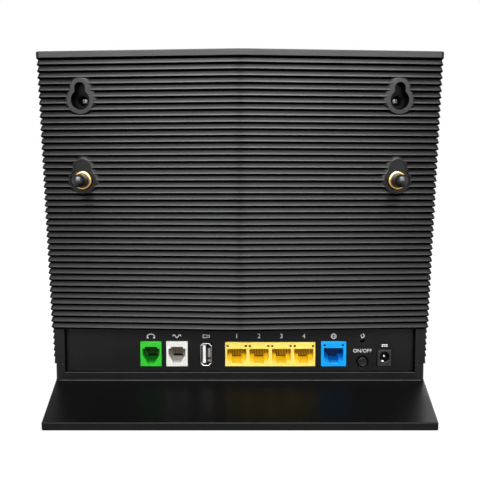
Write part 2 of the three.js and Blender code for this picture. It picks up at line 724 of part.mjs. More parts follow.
// Outline of the smooth part of the housing: sides, rounded front corners and a slightly swelling front face.
const frontOutline = (z, sideInset, frontInset) => {
  const halfWidth = halfWidthAt(z) - sideInset;
  const radius = frontCornerRadius - Math.min(sideInset, frontCornerRadius / 2);
  const front = frontAt(z) - frontInset;
  const flat = halfWidth - radius;
  const swell = [0.75, 0.5, 0.25, 0, -0.25, -0.5, -0.75].map((share) => {
    return [share * flat, front + frontCrown * (1 - share * share)];
  });
  return [
    [halfWidth, partAt(z) + fit],
    ...arc(flat, front - radius, radius, 0, Math.PI / 2, 5),
    ...swell,
    ...arc(-flat, front - radius, radius, Math.PI / 2, Math.PI, 5),
    [-halfWidth, partAt(z) + fit],
  ];
};

// Frame that leans with the front face: Y' straight out of it, Z' up along it, from the housing's lower edge.
const leaning = new THREE.Group();
leaning.position.set(0, frontAtBottom, housingBottom);
leaning.rotation.x = frontLean;
leaning.updateMatrix();
router.add(leaning);
const leaned = (solid) => moved(solid, leaning.matrix);
const leanedPoint = (x, out, up) => new THREE.Vector3(x, out, up).applyMatrix4(leaning.matrix);

const pairX = panelHalfWidth - pairInset;
const pairUp = (boardTop + pairRise - housingBottom) / Math.cos(frontLean); // along the front face
const lightZ = boardTop + pairRise;
const lightXs = Array.from({ length: lightCount }, (_, i) => (i - (lightCount - 1) / 2) * lightPitch);

const logicPosts = [-1, 1].flatMap((sign) =>
  [logicBottom + logicPostInset, logicBottom + logicHeight - logicPostInset].map((up) => [
    sign * (logicHalfWidth - logicPostInset),
    up,
  ]),
);

// Everything behind the middle of the front wall, which trims the screw posts to the cover.
const behindFront = () => {
  const level = (z) => ({
    ring: [
      [-halfWidthAt(z), foldAt(z)],
      [halfWidthAt(z), foldAt(z)],
      [halfWidthAt(z), frontAt(z) - coverWall / 2],
      [-halfWidthAt(z), frontAt(z) - coverWall / 2],
    ],
    z,
  });
  return lofted([level(housingBottom), level(housingTop)]);
};

const frontCover = () => {
  const roundIn = 2.5;
  const outside = lofted([
    { ring: frontOutline(housingBottom, 0, 0), z: housingBottom },
    { ring: frontOutline(housingTop - roundIn, 0, 0), z: housingTop - roundIn },
    { ring: frontOutline(housingTop - topEdge, 0, roundIn / 3), z: housingTop - topEdge },
    { ring: frontOutline(housingTop, topEdge, roundIn), z: housingTop },
  ]);
  const openRing = (z) => pastEnds(frontOutline(z, coverWall, coverWall), -cutOver);
  const hollowEnds = [housingBottom - cutOver, housingTop - coverWall];
  const hollow = lofted(hollowEnds.map((z) => ({ ring: openRing(z), z })));
  const lightSlots = lightXs.map((x) =>
    block(
      [x - lightWidth / 2 - fit, 0, lightZ - lightHeight / 2 - fit],
      [x + lightWidth / 2 + fit, frontAtBottom + 2 * frontCrown, lightZ + lightHeight / 2 + fit],
    ),
  );
  const keyTool = rod(pairRadius + fit, -2 * coverWall, frontCrown + cutOver);
  const keyHole = leaned(forward(keyTool, pairX, 0, pairUp));
  const boardPost = joined(
    rod(logicPostRadius, coverWall / 2, logicBack - fit, 16),
    rod(pinRadius, coverWall / 2, logicBack + boardThickness + pinRise, 8),
  );
  const boardPosts = logicPosts.map(([x, up]) => leaned(rearward(boardPost, x, 0, up)));
  const pastFront = frontAtBottom - rearAtLowestRib; // more than the housing's depth at the keyholes
  const screwPosts = keyholeFrames.map(({ frame }) => {
    const reach = rod(postRadius, -pastFront, -screwPostEnd - fit);
    const pilot = rod(screwShankRadius + fit, -screwHeadDepth - screwHeadHeight - screwLength - fit, 0, 16);
    return moved(reach, frame).intersect(behindFront()).subtract(moved(pilot, frame));
  });
  return less(joined(less(outside, hollow), ...boardPosts, ...screwPosts), ...lightSlots, keyHole);
};

named("front_cover", frontCover(), housingBlack);

// ---------------------------------------------------------------- port panel

const jackBottom = boardTop + fit; // the jacks stand this high on the port board
const buttonZ = boardTop + buttonRise;
const resetZ = boardTop + resetRise;

// Every port that comes through the panel: its middle, its width and its height above the board.
const panelPorts = [
  { x: phoneX, width: phoneJack.width, height: phoneJack.height },
  { x: dslX, width: phoneJack.width, height: phoneJack.height },
  { x: usbX, width: usbShell.width, height: usbShell.lift + usbShell.height },
  { x: lanX, width: lanWidth, height: lanHeight },
  { x: wanX, width: wanWidth, height: wanHeight },
  { x: powerX, width: powerJack.width, height: powerJack.height },
];

const portPanel = () => {
  const halfWidth = panelHalfWidth - fit;
  const lipHalfWidth = panelHalfWidth + panelLipReach;
  const bottom = ledgeTop + fit;
  const top = ribBottom - fit;
  const back = panelDeep;
  const face = block([-halfWidth, 0, bottom], [halfWidth, back, top]);
  const lip = block([-lipHalfWidth, panelThickness + fit, bottom], [lipHalfWidth, back, top + panelLipReach]);
  const pocketHalf = halfWidth - panelLipReach;
  const pocket = block(
    [-pocketHalf, panelThickness, boardBottom],
    [pocketHalf, back + cutOver, top - panelLipReach],
  );
  const openings = panelPorts.map(({ x, width, height }) =>
    block(
      [x - width / 2 - portGap, -cutOver, jackBottom - portGap],
      [x + width / 2 + portGap, back + cutOver, jackBottom + height + portGap],
    ),
  );
  const buttonHole = rearward(rod(buttonHoleRadius, -back - cutOver, cutOver), buttonX, 0, buttonZ);
  const resetHole = rearward(rod(resetHoleRadius, -back - cutOver, cutOver, 16), buttonX, 0, resetZ);
  return less(joined(face, lip), pocket, ...openings, buttonHole, resetHole);
};

named("port_panel", portPanel(), panelBlack);

// ---------------------------------------------------------------- port board

const portBoard = () => {
  const slab = block([-boardHalfWidth, boardRear, boardBottom], [boardHalfWidth, boardFront, boardTop]);
  const holes = baseScrews.map(({ x, y }) =>
    rod(pinRadius + fit, boardBottom - cutOver, boardTop + cutOver, 8).translate(x, y, 0),
  );
  return less(slab, ...holes);
};

named("port_board", portBoard(), boardGreen);

// ---------------------------------------------------------------- jacks

// Jack bodies are made with their face at Y = 0 and their underside at Z = 0, and stand on the board.
const onBoard = (name, solid, material, x, lift = 0) => {
  named(name, solid, material).position.set(x, -portProud, jackBottom + lift);
};

const phoneSocket = () => {
  const { width, height, length } = phoneJack;
  const { width: mouth, height: mouthHeight, top, depth } = phoneCavity;
  const body = block([-width / 2, 0, 0], [width / 2, length, height]);
  const ceiling = height - top;
  const floor = ceiling - mouthHeight;
  const notch = (half, low, high) => block([-half, -cutOver, low], [half, depth, high]);
  return less(
    body,
    notch(mouth / 2, floor, ceiling),
    notch(phoneContacts.width / 2, ceiling - weld, ceiling + phoneContacts.height),
    notch(phoneLatch.width / 2, floor - phoneLatch.height, floor + weld),
    notch(phoneLatch.tailWidth / 2, floor - phoneLatch.height - phoneLatch.tailHeight, floor),
  );
};

const netSocket = (width, height, ports) => {
  const body = block([-width / 2, 0, 0], [width / 2, netLength, height]);
  const ceiling = height - netCavity.top;
  const floor = ceiling - netCavity.height;
  const cavities = Array.from({ length: ports }, (_, i) => {
    const x = (i - (ports - 1) / 2) * lanPitch;
    const hollow = (half, low, high) => block([x - half, -cutOver, low], [x + half, netCavity.depth, high]);
    return joined(
      hollow(netCavity.width / 2, floor, ceiling),
      hollow(netLatch.width / 2, floor - netLatch.height, floor + weld),
    );
  });
  return less(body, ...cavities);
};

onBoard("phone_jack", phoneSocket(), jackGreen, phoneX);
onBoard("dsl_jack", phoneSocket(), jackWhite, dslX);
onBoard("lan_jack_block", netSocket(lanWidth, lanHeight, lanPorts), jackYellow, lanX);
onBoard("wan_jack", netSocket(wanWidth, wanHeight, 1), jackBlue, wanX);

// An upright rectangle with cut corners, as an outline for drawing out along Y.
const cutCorners = (halfWidth, halfHeight, corner) => [
  [-halfWidth, corner - halfHeight],
  [corner - halfWidth, -halfHeight],
  [halfWidth - corner, -halfHeight],
  [halfWidth, corner - halfHeight],
  [halfWidth, halfHeight - corner],
  [halfWidth - corner, halfHeight],
  [corner - halfWidth, halfHeight],
  [-halfWidth, halfHeight - corner],
];

const usbBack = usbShell.length - usbTongue.length; // insulator behind the tongue

const usbTube = () => {
  const { width, height, length, wall, corner } = usbShell;
  const outline = (inset) => cutCorners(width / 2 - inset, height / 2 - inset, corner);
  const bore = drawnOut(outline(wall), -length - cutOver, cutOver);
  return rearward(drawnOut(outline(0), -length, 0).subtract(bore), 0, 0, height / 2);
};

const usbInsulator = () => {
  const { width, height, length, wall, corner } = usbShell;
  const inset = wall + snug;
  const plug = drawnOut(cutCorners(width / 2 - inset, height / 2 - inset, corner), -length, usbBack - length);
  const { thickness, height: tongueHeight, offset } = usbTongue;
  const tongue = block(
    [offset - thickness / 2, -tongueHeight / 2, usbBack - length - weld],
    [offset + thickness / 2, tongueHeight / 2, -1],
  );
  return rearward(plug.add(tongue), 0, 0, height / 2);
};

onBoard("usb_shell", usbTube(), steel, usbX, usbShell.lift - fit);
onBoard("usb_tongue", usbInsulator(), jackWhite, usbX, usbShell.lift - fit);

const powerSocket = () => {
  const { width, height, length, boreRise, boreRadius, boreDepth } = powerJack;
  const body = block([-width / 2, 0, 0], [width / 2, length, height]);
  const bore = rearward(rod(boreRadius, -boreDepth, cutOver), 0, 0, boreRise);
  const pinHole = rearward(rod(powerPin.radius + snug, -boreDepth - powerPin.root, 0, 16), 0, 0, boreRise);
  return less(body, bore, pinHole);
};

const powerSocketPin = () => {
  const { boreRise, boreDepth } = powerJack;
  const { radius, length, root } = powerPin;
  const tip = length - boreDepth;
  const end = snug - boreDepth - root;
  const pin = turned([[0, end], [radius, end], [radius, tip - radius / 2], [radius / 2, tip], [0, tip]], 16);
  return rearward(pin, 0, 0, boreRise);
};

onBoard("power_jack", powerSocket(), panelBlack, powerX);
onBoard("power_jack_pin", powerSocketPin(), steel, powerX);

// ---------------------------------------------------------------- power button and reset key

const buttonWay = fit + buttonTravel; // room for a key inside its switch, past its travel

const powerSwitchBody = () => {
  const { width, height, length, face, back } = powerSwitch;
  const body = block([-width / 2, face, 0], [width / 2, face + length, height]);
  const half = stemSize / 2 + fit;
  const axis = buttonZ - jackBottom;
  const well = block([-half, face - cutOver, axis - half], [half, face + length - back, axis + half]);
  return body.subtract(well);
};

const powerButton = () => {
  const cap = turned([
    [0, -powerSwitch.face + buttonWay],
    [buttonRadius, -powerSwitch.face + buttonWay],
    [buttonRadius, buttonProud - buttonEdge],
    [buttonRadius - buttonEdge, buttonProud],
    [buttonRadius - 2 * buttonEdge, buttonProud],
    [0, buttonProud - buttonDish],
  ], 24);
  const half = stemSize / 2;
  const depth = powerSwitch.face + powerSwitch.length - powerSwitch.back - buttonWay;
  const stem = block([-half, -half, -depth], [half, half, -powerSwitch.face + buttonWay + weld]);
  return rearward(joined(cap, stem), 0, 0, 0);
};

named("power_switch", powerSwitchBody(), chipBlack).position.set(buttonX, 0, jackBottom);
named("power_button", powerButton(), panelBlack).position.set(buttonX, 0, buttonZ);

const riserRear = powerSwitch.face + powerSwitch.length + fit;
const tactFace = riserRear - fit - tactSwitch.length; // face of the reset switch, towards the panel
const keyWay = fit + resetTravel;
const keyRoot = 1.2; // of the key inside its switch

const riserBoard = () => {
  const half = riser.width / 2;
  return block([-half, 0, 0], [half, riser.thickness, riser.height]);
};

const resetSwitchBody = () => {
  const { width, height, length } = tactSwitch;
  const body = block([-width / 2, 0, -height / 2], [width / 2, length, height / 2]);
  return body.subtract(rearward(rod(resetKeyRadius + fit, -keyRoot - keyWay, cutOver, 16), 0, 0, 0));
};

const resetKey = () => rearward(rod(resetKeyRadius, -keyRoot, resetKeyReach, 16), 0, 0, 0);

named("riser_board", riserBoard(), boardGreen).position.set(buttonX, riserRear, jackBottom);
named("reset_switch", resetSwitchBody(), steel).position.set(buttonX, tactFace, resetZ);
named("reset_key", resetKey(), chipBlack).position.set(buttonX, tactFace, resetZ);

// ---------------------------------------------------------------- pairing key, on the front face

const onFace = (name, solid, material, x, out, up) => {
  named(name, solid, material, leaning).position.set(x, out, up);
};

const crownAt = (x) => frontCrown * (1 - (x / (housingBottomHalfWidth - frontCornerRadius)) ** 2);
const collarFront = crownAt(pairX + pairCollar.radius) - coverWall - fit;
const pairFace = crownAt(pairX) - pairSwitch.back; // face of the switch, towards the front

const pairKey = () => {
  const { radius, thickness } = pairCollar;
  const proud = crownAt(pairX) + pairProud;
  const foot = pairFace + fit + pairTravel;
  return forward(turned([
    [0, foot],
    [pairStemRadius, foot],
    [pairStemRadius, collarFront - thickness],
    [radius, collarFront - thickness],
    [radius, collarFront],
    [pairRadius, collarFront],
    [pairRadius, proud - buttonEdge],
    [pairRadius - buttonEdge, proud],
    [0, proud],
  ], 24), 0, 0, 0);
};

onFace("pairing_key", pairKey(), panelBlack, pairX, 0, pairUp);

const pairY = leanedPoint(pairX, pairFace - snug, pairUp).y;
named(
  "pairing_switch",
  block([-pairSwitch.width / 2, -pairSwitch.length, 0], [pairSwitch.width / 2, 0, pairSwitch.height]),
  chipBlack,
).position.set(pairX, pairY, jackBottom);

// ---------------------------------------------------------------- light guide

const lightGuide = () => {
  const { thickness, height, back, legWidth } = lightBar;
  const barFront = frontAt(lightZ) - back;
  const barHalf = lightXs.at(-1) + lightWidth;
  const bar = block(
    [-barHalf, barFront - thickness, lightZ - height / 2],
    [barHalf, barFront, lightZ + height / 2],
  );
  const legs = [-barHalf, barHalf - legWidth].map((x) =>
    block([x, barFront - thickness, jackBottom], [x + legWidth, barFront, lightZ]),
  );
  const flat = halfWidthAt(lightZ) - frontCornerRadius;
  const fingers = lightXs.map((x) => {
    const low = lightZ - lightHeight / 2;
    const high = lightZ + lightHeight / 2;
    const face = (z) => frontAt(z) + frontCrown * (1 - (x / flat) ** 2);
    const side = drawnOut(
      [
        [barFront - weld, low],
        [face(low), low],
        [face(high), high],
        [barFront - weld, high],
      ],
      -lightWidth / 2,
      lightWidth / 2,
    );
    return moved(side, alongX.clone().setPosition(x, 0, 0));
  });
  return joined(bar, ...legs, ...fingers);
};

named("light_guide", lightGuide(), clear);

// ---------------------------------------------------------------- logic board and what it carries

// Places on the logic board: X across, up the front face, and depth behind the board's rear side.
const logicRear = -logicBack - boardThickness;

const logicBoard = () => {
  const top = logicBottom + logicHeight;
  const slab = block([-logicHalfWidth, logicRear, logicBottom], [logicHalfWidth, -logicBack, top]);
  const holes = logicPosts.map(([x, up]) =>
    rearward(rod(pinRadius + fit, logicBack - cutOver, logicBack + boardThickness + cutOver, 8), x, 0, up),
  );
  return less(slab, ...holes);
};

onFace("logic_board", logicBoard(), boardGreen, 0, 0, 0);

// A flat package with its upper edges chamfered, standing on height 0.
const chipBody = (width, height, thickness) => {
  const rim = (inset) => [
    [inset - width / 2, inset - height / 2],
    [width / 2 - inset, inset - height / 2],
    [width / 2 - inset, height / 2 - inset],
    [inset - width / 2, height / 2 - inset],
  ];
  const chamfer = thickness / 4;
  return lofted([
    { ring: rim(0), z: 0 },
    { ring: rim(0), z: thickness - chamfer },
    { ring: rim(chamfer), z: thickness },
  ]);
};

const shieldCan = (height) => {
  const { width, thickness } = shield;
  const lid = chipBody(width, height, thickness - shieldStep / 2);
  const inner = 4 * shieldStep;
  return joined(lid, chipBody(width - inner, height - inner, thickness));
};

// Stands a piece made on height 0 on the rear side of the logic board.
const onLogic = (name, solid, material, x, up, depth = 0) => {
  const raised = rearward(solid, 0, -fit - depth, 0);
  onFace(name, raised, material, x, logicRear, logicBottom + up);
};

const processor = chipBody(mainChip.width, mainChip.height, mainChip.thickness);
onLogic("main_chip", processor, chipBlack, mainChip.x, mainChip.up);
const padDepth = mainChip.thickness + fit;
const pad = chipBody(mainChip.width, mainChip.height, thermalPad);
onLogic("thermal_pad", pad, padGrey, mainChip.x, mainChip.up, padDepth);

const finnedSink = () => {
  const { width, height, base, fin, finHeight, fins } = heatSink;
  const plate = block([-width / 2, -height / 2, 0], [width / 2, height / 2, base]);
  const step = (width - fin) / (fins - 1);
  const blades = Array.from({ length: fins }, (_, i) => {
    const left = i * step - width / 2;
    return block([left, -height / 2, base - weld], [left + fin, height / 2, base + finHeight]);
  });
  return joined(plate, ...blades);
};

onLogic("heat_sink", finnedSink(), aluminium, mainChip.x, mainChip.up, padDepth + thermalPad + fit);

const memory = chipBody(memoryChip.width, memoryChip.height, memoryChip.thickness);
onLogic("memory_chip", memory, chipBlack, memoryChip.x, memoryChip.up);

const shieldHeight = (logicHeight - 2 * shield.margin - shield.gap) / 2;
const lowShieldUp = shield.margin + shieldHeight / 2;
onLogic("shield_low", shieldCan(shieldHeight), steel, shield.x, lowShieldUp);
onLogic("shield_high", shieldCan(shieldHeight), steel, shield.x, logicHeight - lowShieldUp);

// ---------------------------------------------------------------- parts on the port board

const standing = (name, solid, material, x) => {
  named(name, solid, material).position.set(x, partsRow, jackBottom);
};

const boxed = ({ width, depth, height }) => chipBody(width, depth, height);
standing("lan_transformer", boxed(lanTransformer), chipBlack, lanX + lanTransformer.aside);
standing("wan_transformer", boxed(wanTransformer), chipBlack, wanX + wanTransformer.aside);
standing("dsl_transformer", boxed(dslTransformer), jackYellow, dslX + dslTransformer.aside);

const capacitor = ({ radius, height }) => {
  const edge = radius / 8;
  return turned([[0, 0], [radius, 0], [radius, height - edge], [radius - edge, height], [0, height]], 16);
};

standing("capacitor_1", capacitor(smallCapacitor), aluminium, wanX + smallCapacitor.aside);
standing("capacitor_2", capacitor(largeCapacitor), aluminium, phoneX + largeCapacitor.aside);

const coil = () => {
  const { radius, height, waist, lip } = inductor;
  return turned([
    [0, 0],
    [radius, 0],
    [radius, lip],
    [waist, lip],
    [waist, height - lip],
    [radius, height - lip],
    [radius, height],
    [0, height],
  ], 16);
};

standing("power_inductor", coil(), chipBlack, phoneX + inductor.aside);

// ---------------------------------------------------------------- ribbon between the two boards

// A socket standing on height 0, with a slot for the ribbon in its far end.
const slottedSocket = () => {
  const { width, depth, height } = ribbonSocket;
  const half = ribbon.thickness / 2 + snug;
  const slotWidth = ribbon.width / 2 + snug;
  const slotFloor = height - ribbon.inSocket - snug;
  const body = block([-width / 2, -depth / 2, 0], [width / 2, depth / 2, height]);
  return body.subtract(block([-slotWidth, -half, slotFloor], [slotWidth, half, height + cutOver]));
};

const lowSocketTop = jackBottom + ribbonSocket.height;
const highSocketOut = logicRear - fit - ribbonSocket.depth / 2;
const highSocketMouth = logicBottom + ribbonUp;
const ribbonX = usbX + ribbon.aside;

named("ribbon_socket_low", slottedSocket(), ribbonWhite).position.set(ribbonX, ribbonRow, jackBottom);
const hanging = new THREE.Matrix4().makeRotationX(Math.PI);
const turnedSocket = moved(slottedSocket(), hanging).translate(0, 0, ribbonSocket.height);
onFace("ribbon_socket_high", turnedSocket, ribbonWhite, ribbonX, highSocketOut, highSocketMouth);

const ribbonSolid = () => {
  const inPlane = (out, up) => {
    const { y, z } = leanedPoint(0, out, up);
    return new THREE.Vector3(y, z, 0);
  };
  const lowEnd = new THREE.Vector3(ribbonRow, lowSocketTop - ribbon.inSocket, 0);
  const highEnd = inPlane(highSocketOut, highSocketMouth + ribbon.inSocket);
  const straight = 3 * ribbon.inSocket;
  const path = new THREE.CubicBezierCurve3(
    lowEnd.clone().setY(lowSocketTop + ribbon.thickness),
    lowEnd.clone().setY(lowSocketTop + 2 * straight),
    inPlane(highSocketOut, highSocketMouth - 2 * straight),
    inPlane(highSocketOut, highSocketMouth - ribbon.thickness),
  );
  const middle = [lowEnd, ...path.getSpacedPoints(14), highEnd];
  const half = ribbon.thickness / 2;
  const edge = (side) =>
    middle.map((point, i) => {
      const before = middle[Math.max(i - 1, 0)];
      const after = middle[Math.min(i + 1, middle.length - 1)];
      const along = after.clone().sub(before).normalize();
      return [point.x - side * half * along.y, point.y + side * half * along.x];
    });
  const strip = drawnOut([...edge(1), ...edge(-1).reverse()], -ribbon.width / 2, ribbon.width / 2);
  return moved(strip, alongX);
};

named("ribbon_cable", ribbonSolid(), ribbonWhite).position.x = ribbonX;

// ---------------------------------------------------------------- antennas and their leads

const outerAntenna = housingTopHalfWidth - antennaInset;
const antennaStep = (2 * outerAntenna) / (antennaCount - 1);

const antennaOut = (x) => crownAt(Math.abs(x) + antenna.width / 2) - coverWall - fit;

const antennaStrip = () => {
  const { width, height, thickness } = antenna;
  return block([-width / 2, -thickness, -height / 2], [width / 2, 0, height / 2]);
};

// A tube with closed ends along a smooth curve through the points.
const tube = (points, radius, steps) => {
  const section = new THREE.Shape().absarc(0, 0, radius, 0, 2 * Math.PI);
  const extrudePath = new THREE.CatmullRomCurve3(points.map((point) => new THREE.Vector3(...point)));
  const options = { steps, curveSegments: 2, extrudePath, bevelEnabled: false };
  return toSolid(new THREE.ExtrudeGeometry(section, options));
};

// From the lower part of an antenna over the top edge of the logic board to a plug on its rear side.
const antennaLead = (out) => {
  const boardEdge = logicBottom + logicHeight;
  const start = out - antenna.thickness - leadRadius - fit;
  const plugBack = logicRear - fit - leadPlug.height;
  const lane = plugBack + leadRadius;
  const run = tube(
    [
      [0, start, antenna.up],
      [0, start, antenna.up - antenna.height / 2],
      [0, (start + lane) / 2, boardEdge + 3 * leadRadius],
      [0, lane - leadRadius / 2, boardEdge + leadRadius],
      [0, lane, boardEdge - leadPlug.down],
    ],
    leadRadius,
    12,
  );
  const plug = rod(leadPlug.radius, 0, leadPlug.height, 12);
  return run.add(rearward(plug, 0, logicRear - fit, boardEdge - leadPlug.down));
};

for (let i = 0; i < antennaCount; i++) {
  const x = i * antennaStep - outerAntenna;
  const out = antennaOut(x);
  onFace(`antenna_${i + 1}`, antennaStrip(), brass, x, out, antenna.up);
  onFace(`antenna_lead_${i + 1}`, antennaLead(out), chipBlack, x, 0, 0);
}

// ---------------------------------------------------------------- origin at the middle of the underside

const box = new THREE.Box3().setFromObject(router);
const middle = box.getCenter(new THREE.Vector3());
router.position.set(-middle.x, -middle.y, -box.min.z);

export default router;
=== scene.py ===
import math

import bmesh
import bpy
from mathutils import Matrix, Vector


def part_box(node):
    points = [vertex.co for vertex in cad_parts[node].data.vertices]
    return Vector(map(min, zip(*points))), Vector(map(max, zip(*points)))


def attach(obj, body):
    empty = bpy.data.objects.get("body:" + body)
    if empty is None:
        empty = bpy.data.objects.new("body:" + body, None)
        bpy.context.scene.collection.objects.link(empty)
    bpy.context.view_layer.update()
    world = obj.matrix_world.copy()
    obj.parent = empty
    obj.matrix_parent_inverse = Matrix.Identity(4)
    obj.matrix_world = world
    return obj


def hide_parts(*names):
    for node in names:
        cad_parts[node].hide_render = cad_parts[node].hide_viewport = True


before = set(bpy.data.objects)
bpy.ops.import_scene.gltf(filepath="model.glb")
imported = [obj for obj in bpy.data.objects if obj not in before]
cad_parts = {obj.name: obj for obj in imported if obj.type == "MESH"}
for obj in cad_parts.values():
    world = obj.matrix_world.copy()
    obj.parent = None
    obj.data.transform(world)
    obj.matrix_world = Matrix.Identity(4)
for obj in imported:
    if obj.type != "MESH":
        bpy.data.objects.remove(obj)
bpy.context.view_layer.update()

# Lengths are millimetres until a mesh is made, and then metres. Heights are from the floor, and depths from the
# outer face of the port panel, with the ports towards -Y.
MM = 0.001
PANEL_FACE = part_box("port_panel")[0].y / MM


# ================================================================ camera, floor and lamps
# The ports are seen from a little above the middle of the router through a fairly long lens. Floor and room are
# plain and pale. Soft lamps light the router from the front, the sides and behind, and three long lamps show only
# as highlights on its black plastic.

camera = bpy.data.objects.new("camera", bpy.data.cameras.new("camera"))
camera_distance = 381.8  # from the port panel
camera_height = 118.4
camera_dip = math.radians(3.97)
camera.data.lens = 46.5
camera.data.sensor_width = 36
camera.location = Vector((0, PANEL_FACE - camera_distance, camera_height)) * MM
camera.rotation_euler = (math.pi / 2 - camera_dip, 0, 0)
bpy.context.scene.collection.objects.link(camera)
bpy.context.scene.camera = camera
bpy.context.scene.view_settings.view_transform = "Standard"


def add_node(tree, kind, inputs=None, **settings):
    """A node with its settings, and its inputs set to values or linked to the sockets given."""
    made = tree.nodes.new(kind)
    for name, value in settings.items():
        setattr(made, name, value)
    for key, value in (inputs or {}).items():
        if isinstance(value, bpy.types.NodeSocket):
            tree.links.new(value, made.inputs[key])
        else:
            made.inputs[key].default_value = value
    return made


def maths(tree, operation, *values):
    """One step of arithmetic on numbers or sockets."""
    return add_node(tree, "ShaderNodeMath", dict(enumerate(values)), operation=operation).outputs[0]


def ranged(tree, value, start, end, low=0, high=1):
    """The value's stretch from start to end, spread from low to high and held at both ends."""
    inputs = {"Value": value, "From Min": start, "From Max": end, "To Min": low, "To Max": high}
    return add_node(tree, "ShaderNodeMapRange", inputs).outputs[0]


def seen_directly(tree, lit, seen, output):
    """One shader where the camera, gloss or glass looks, and the other one for the light that it throws back."""
    rays = add_node(tree, "ShaderNodeLightPath").outputs
    looks = maths(tree, "MAXIMUM", rays["Is Camera Ray"], rays["Is Glossy Ray"])
    looks = maths(tree, "MAXIMUM", looks, rays["Is Transmission Ray"])
    mixed = add_node(tree, "ShaderNodeMixShader", {0: looks, 1: lit.outputs[0], 2: seen.outputs[0]})
    tree.links.new(mixed.outputs[0], output.inputs[0])


world = bpy.data.worlds.new("studio")
world.use_nodes = True
world.node_tree.nodes.clear()
bpy.context.scene.world = world
room = add_node(world.node_tree, "ShaderNodeBackground", {"Color": (1, 1, 1, 1), "Strength": 0.2})
paper = add_node(world.node_tree, "ShaderNodeBackground", {"Color": (1, 1, 1, 1), "Strength": 1})
seen_directly(world.node_tree, room, paper, world.node_tree.nodes.new("ShaderNodeOutputWorld"))


def new_material(name):
    """A material with an empty tree and its output node."""
    material = bpy.data.materials.new(name)
    material.use_nodes = True
    material.node_tree.nodes.clear()
    return material, material.node_tree, material.node_tree.nodes.new("ShaderNodeOutputMaterial")


floor_reach = 3
corners = [(-floor_reach, -floor_reach, 0), (floor_reach, -floor_reach, 0), (floor_reach, floor_reach, 0),
           (-floor_reach, floor_reach, 0)]
floor = bpy.data.objects.new("floor", bpy.data.meshes.new("floor"))
floor.data.from_pydata(corners, [], [(0, 1, 2, 3)])
bpy.context.scene.collection.objects.link(floor)
floor_paper, tree, output = new_material("floor_paper")
place = add_node(tree, "ShaderNodeTexCoord").outputs["Object"]
distance = add_node(tree, "ShaderNodeVectorMath", {0: place}, operation="LENGTH").outputs["Value"]
glow = add_node(tree, "ShaderNodeEmission", {"Strength": ranged(tree, distance, 0.1, 0.5, 0.9, 1)})
shadow = add_node(tree, "ShaderNodeBsdfDiffuse", {"Color": (0.15, 0.15, 0.15, 1)})
seen_paper = add_node(tree, "ShaderNodeAddShader", {0: glow.outputs[0], 1: shadow.outputs[0]})
matt = add_node(tree, "ShaderNodeBsdfDiffuse", {"Color": (0.35, 0.35, 0.35, 1)})
seen_directly(tree, matt, seen_paper, output)
floor.data.materials.append(floor_paper)


def soft_lamp(name, place, aim, size, power, gloss=False, matt=True):
    """A rectangular lamp, with places in metres. It lights matt surfaces, shows as a highlight, or does both."""
    lamp = bpy.data.objects.new(name, bpy.data.lights.new(name, "AREA"))
    lamp.data.shape = "RECTANGLE"
    lamp.data.size, lamp.data.size_y = size
    lamp.data.energy = power
    lamp.location = place
    lamp.rotation_euler = (Vector(aim) - Vector(place)).to_track_quat("-Z", "Y").to_euler()
    lamp.visible_glossy = gloss
    lamp.visible_diffuse = matt
    bpy.context.scene.collection.objects.link(lamp)


soft_lamp("lamp_sheen", (0, -0.6, 1.12), (0, 0, 0.12), (1.0, 0.4), 44, gloss=True, matt=False)
soft_lamp("lamp_low_sheen", (0, -1.0, 0.75), (0, 0, 0.05), (1.2, 0.4), 19, gloss=True, matt=False)
soft_lamp("lamp_band", (0, -1.1, 0.36), (0, 0, 0.19), (1.6, 0.3), 22, gloss=True, matt=False)
soft_lamp("lamp_front", (0, -1.2, 0.9), (0, 0, 0.12), (0.9, 0.5), 19)
soft_lamp("lamp_left", (-1.2, -0.9, 0.5), (0, 0, 0.1), (0.5, 0.8), 8)
soft_lamp("lamp_right", (1.2, -0.9, 0.5), (0, 0, 0.1), (0.5, 0.8), 8)
soft_lamp("lamp_back", (0.3, 1.3, 0.6), (0, 0, 0.1), (1.4, 0.9), 16, gloss=True)


# ================================================================ rear cover
# One black moulding with a fine spark-eroded grain, which wraps the back and both sides of the housing. Its
# overlapping ribs run round it on drafted steps, and stop at a clearance round each keyhole and stud boss.

HOUSING_BOTTOM, HOUSING_TOP = [corner.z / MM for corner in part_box("rear_cover")]
HALF_WIDTH_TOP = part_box("rear_cover")[1].x / MM
HALF_WIDTH_BOTTOM = 115.6
HOUSING_HEIGHT = HOUSING_TOP - HOUSING_BOTTOM
PART_BOTTOM = 26  # joint of the two covers at the lower edge
PART_TOP = -2
JOINT_LEAN = (PART_TOP - PART_BOTTOM) / HOUSING_HEIGHT
COVER_WALL = 2
LEAN = math.tan(math.radians(3.6))
FOLD = math.tan(math.radians(3.68))
CHEEK_REACH = 4
PANEL_HALF_WIDTH = 108.5
PANEL_THICKNESS = 2
rib_pitch = 3.715
rib_count = 43
rib_depth = 1.0
rib_lip = 1.25
rib_round = 0.15
rib_hollow = 0.75  # 1 is a flat rib; less hollows it towards its root
rib_gap = (0.6, 0.35)  # depth and height of the shadow gap under each rib
gap_slant = 0.15  # how far the gap's lower side falls outwards
top_band = 4.9
top_round = 0.9
fold_round = 90
rear_corner = 2.2
cheek_corner = 1.1
RIB_BOTTOM = HOUSING_TOP - top_band - rib_count * rib_pitch
rear_at_lowest_rib = -14.6
vent_count = 20
vent_pitch = 9
vent_size = (2, 7)


def arc(x, y, radius, start, turn, steps):
    """Points of an arc with both ends; angles in degrees, anticlockwise."""
    angles = [math.radians(start + turn * i / steps) for i in range(steps + 1)]
    return [Vector((x + radius * math.cos(angle), y + radius * math.sin(angle))) for angle in angles]


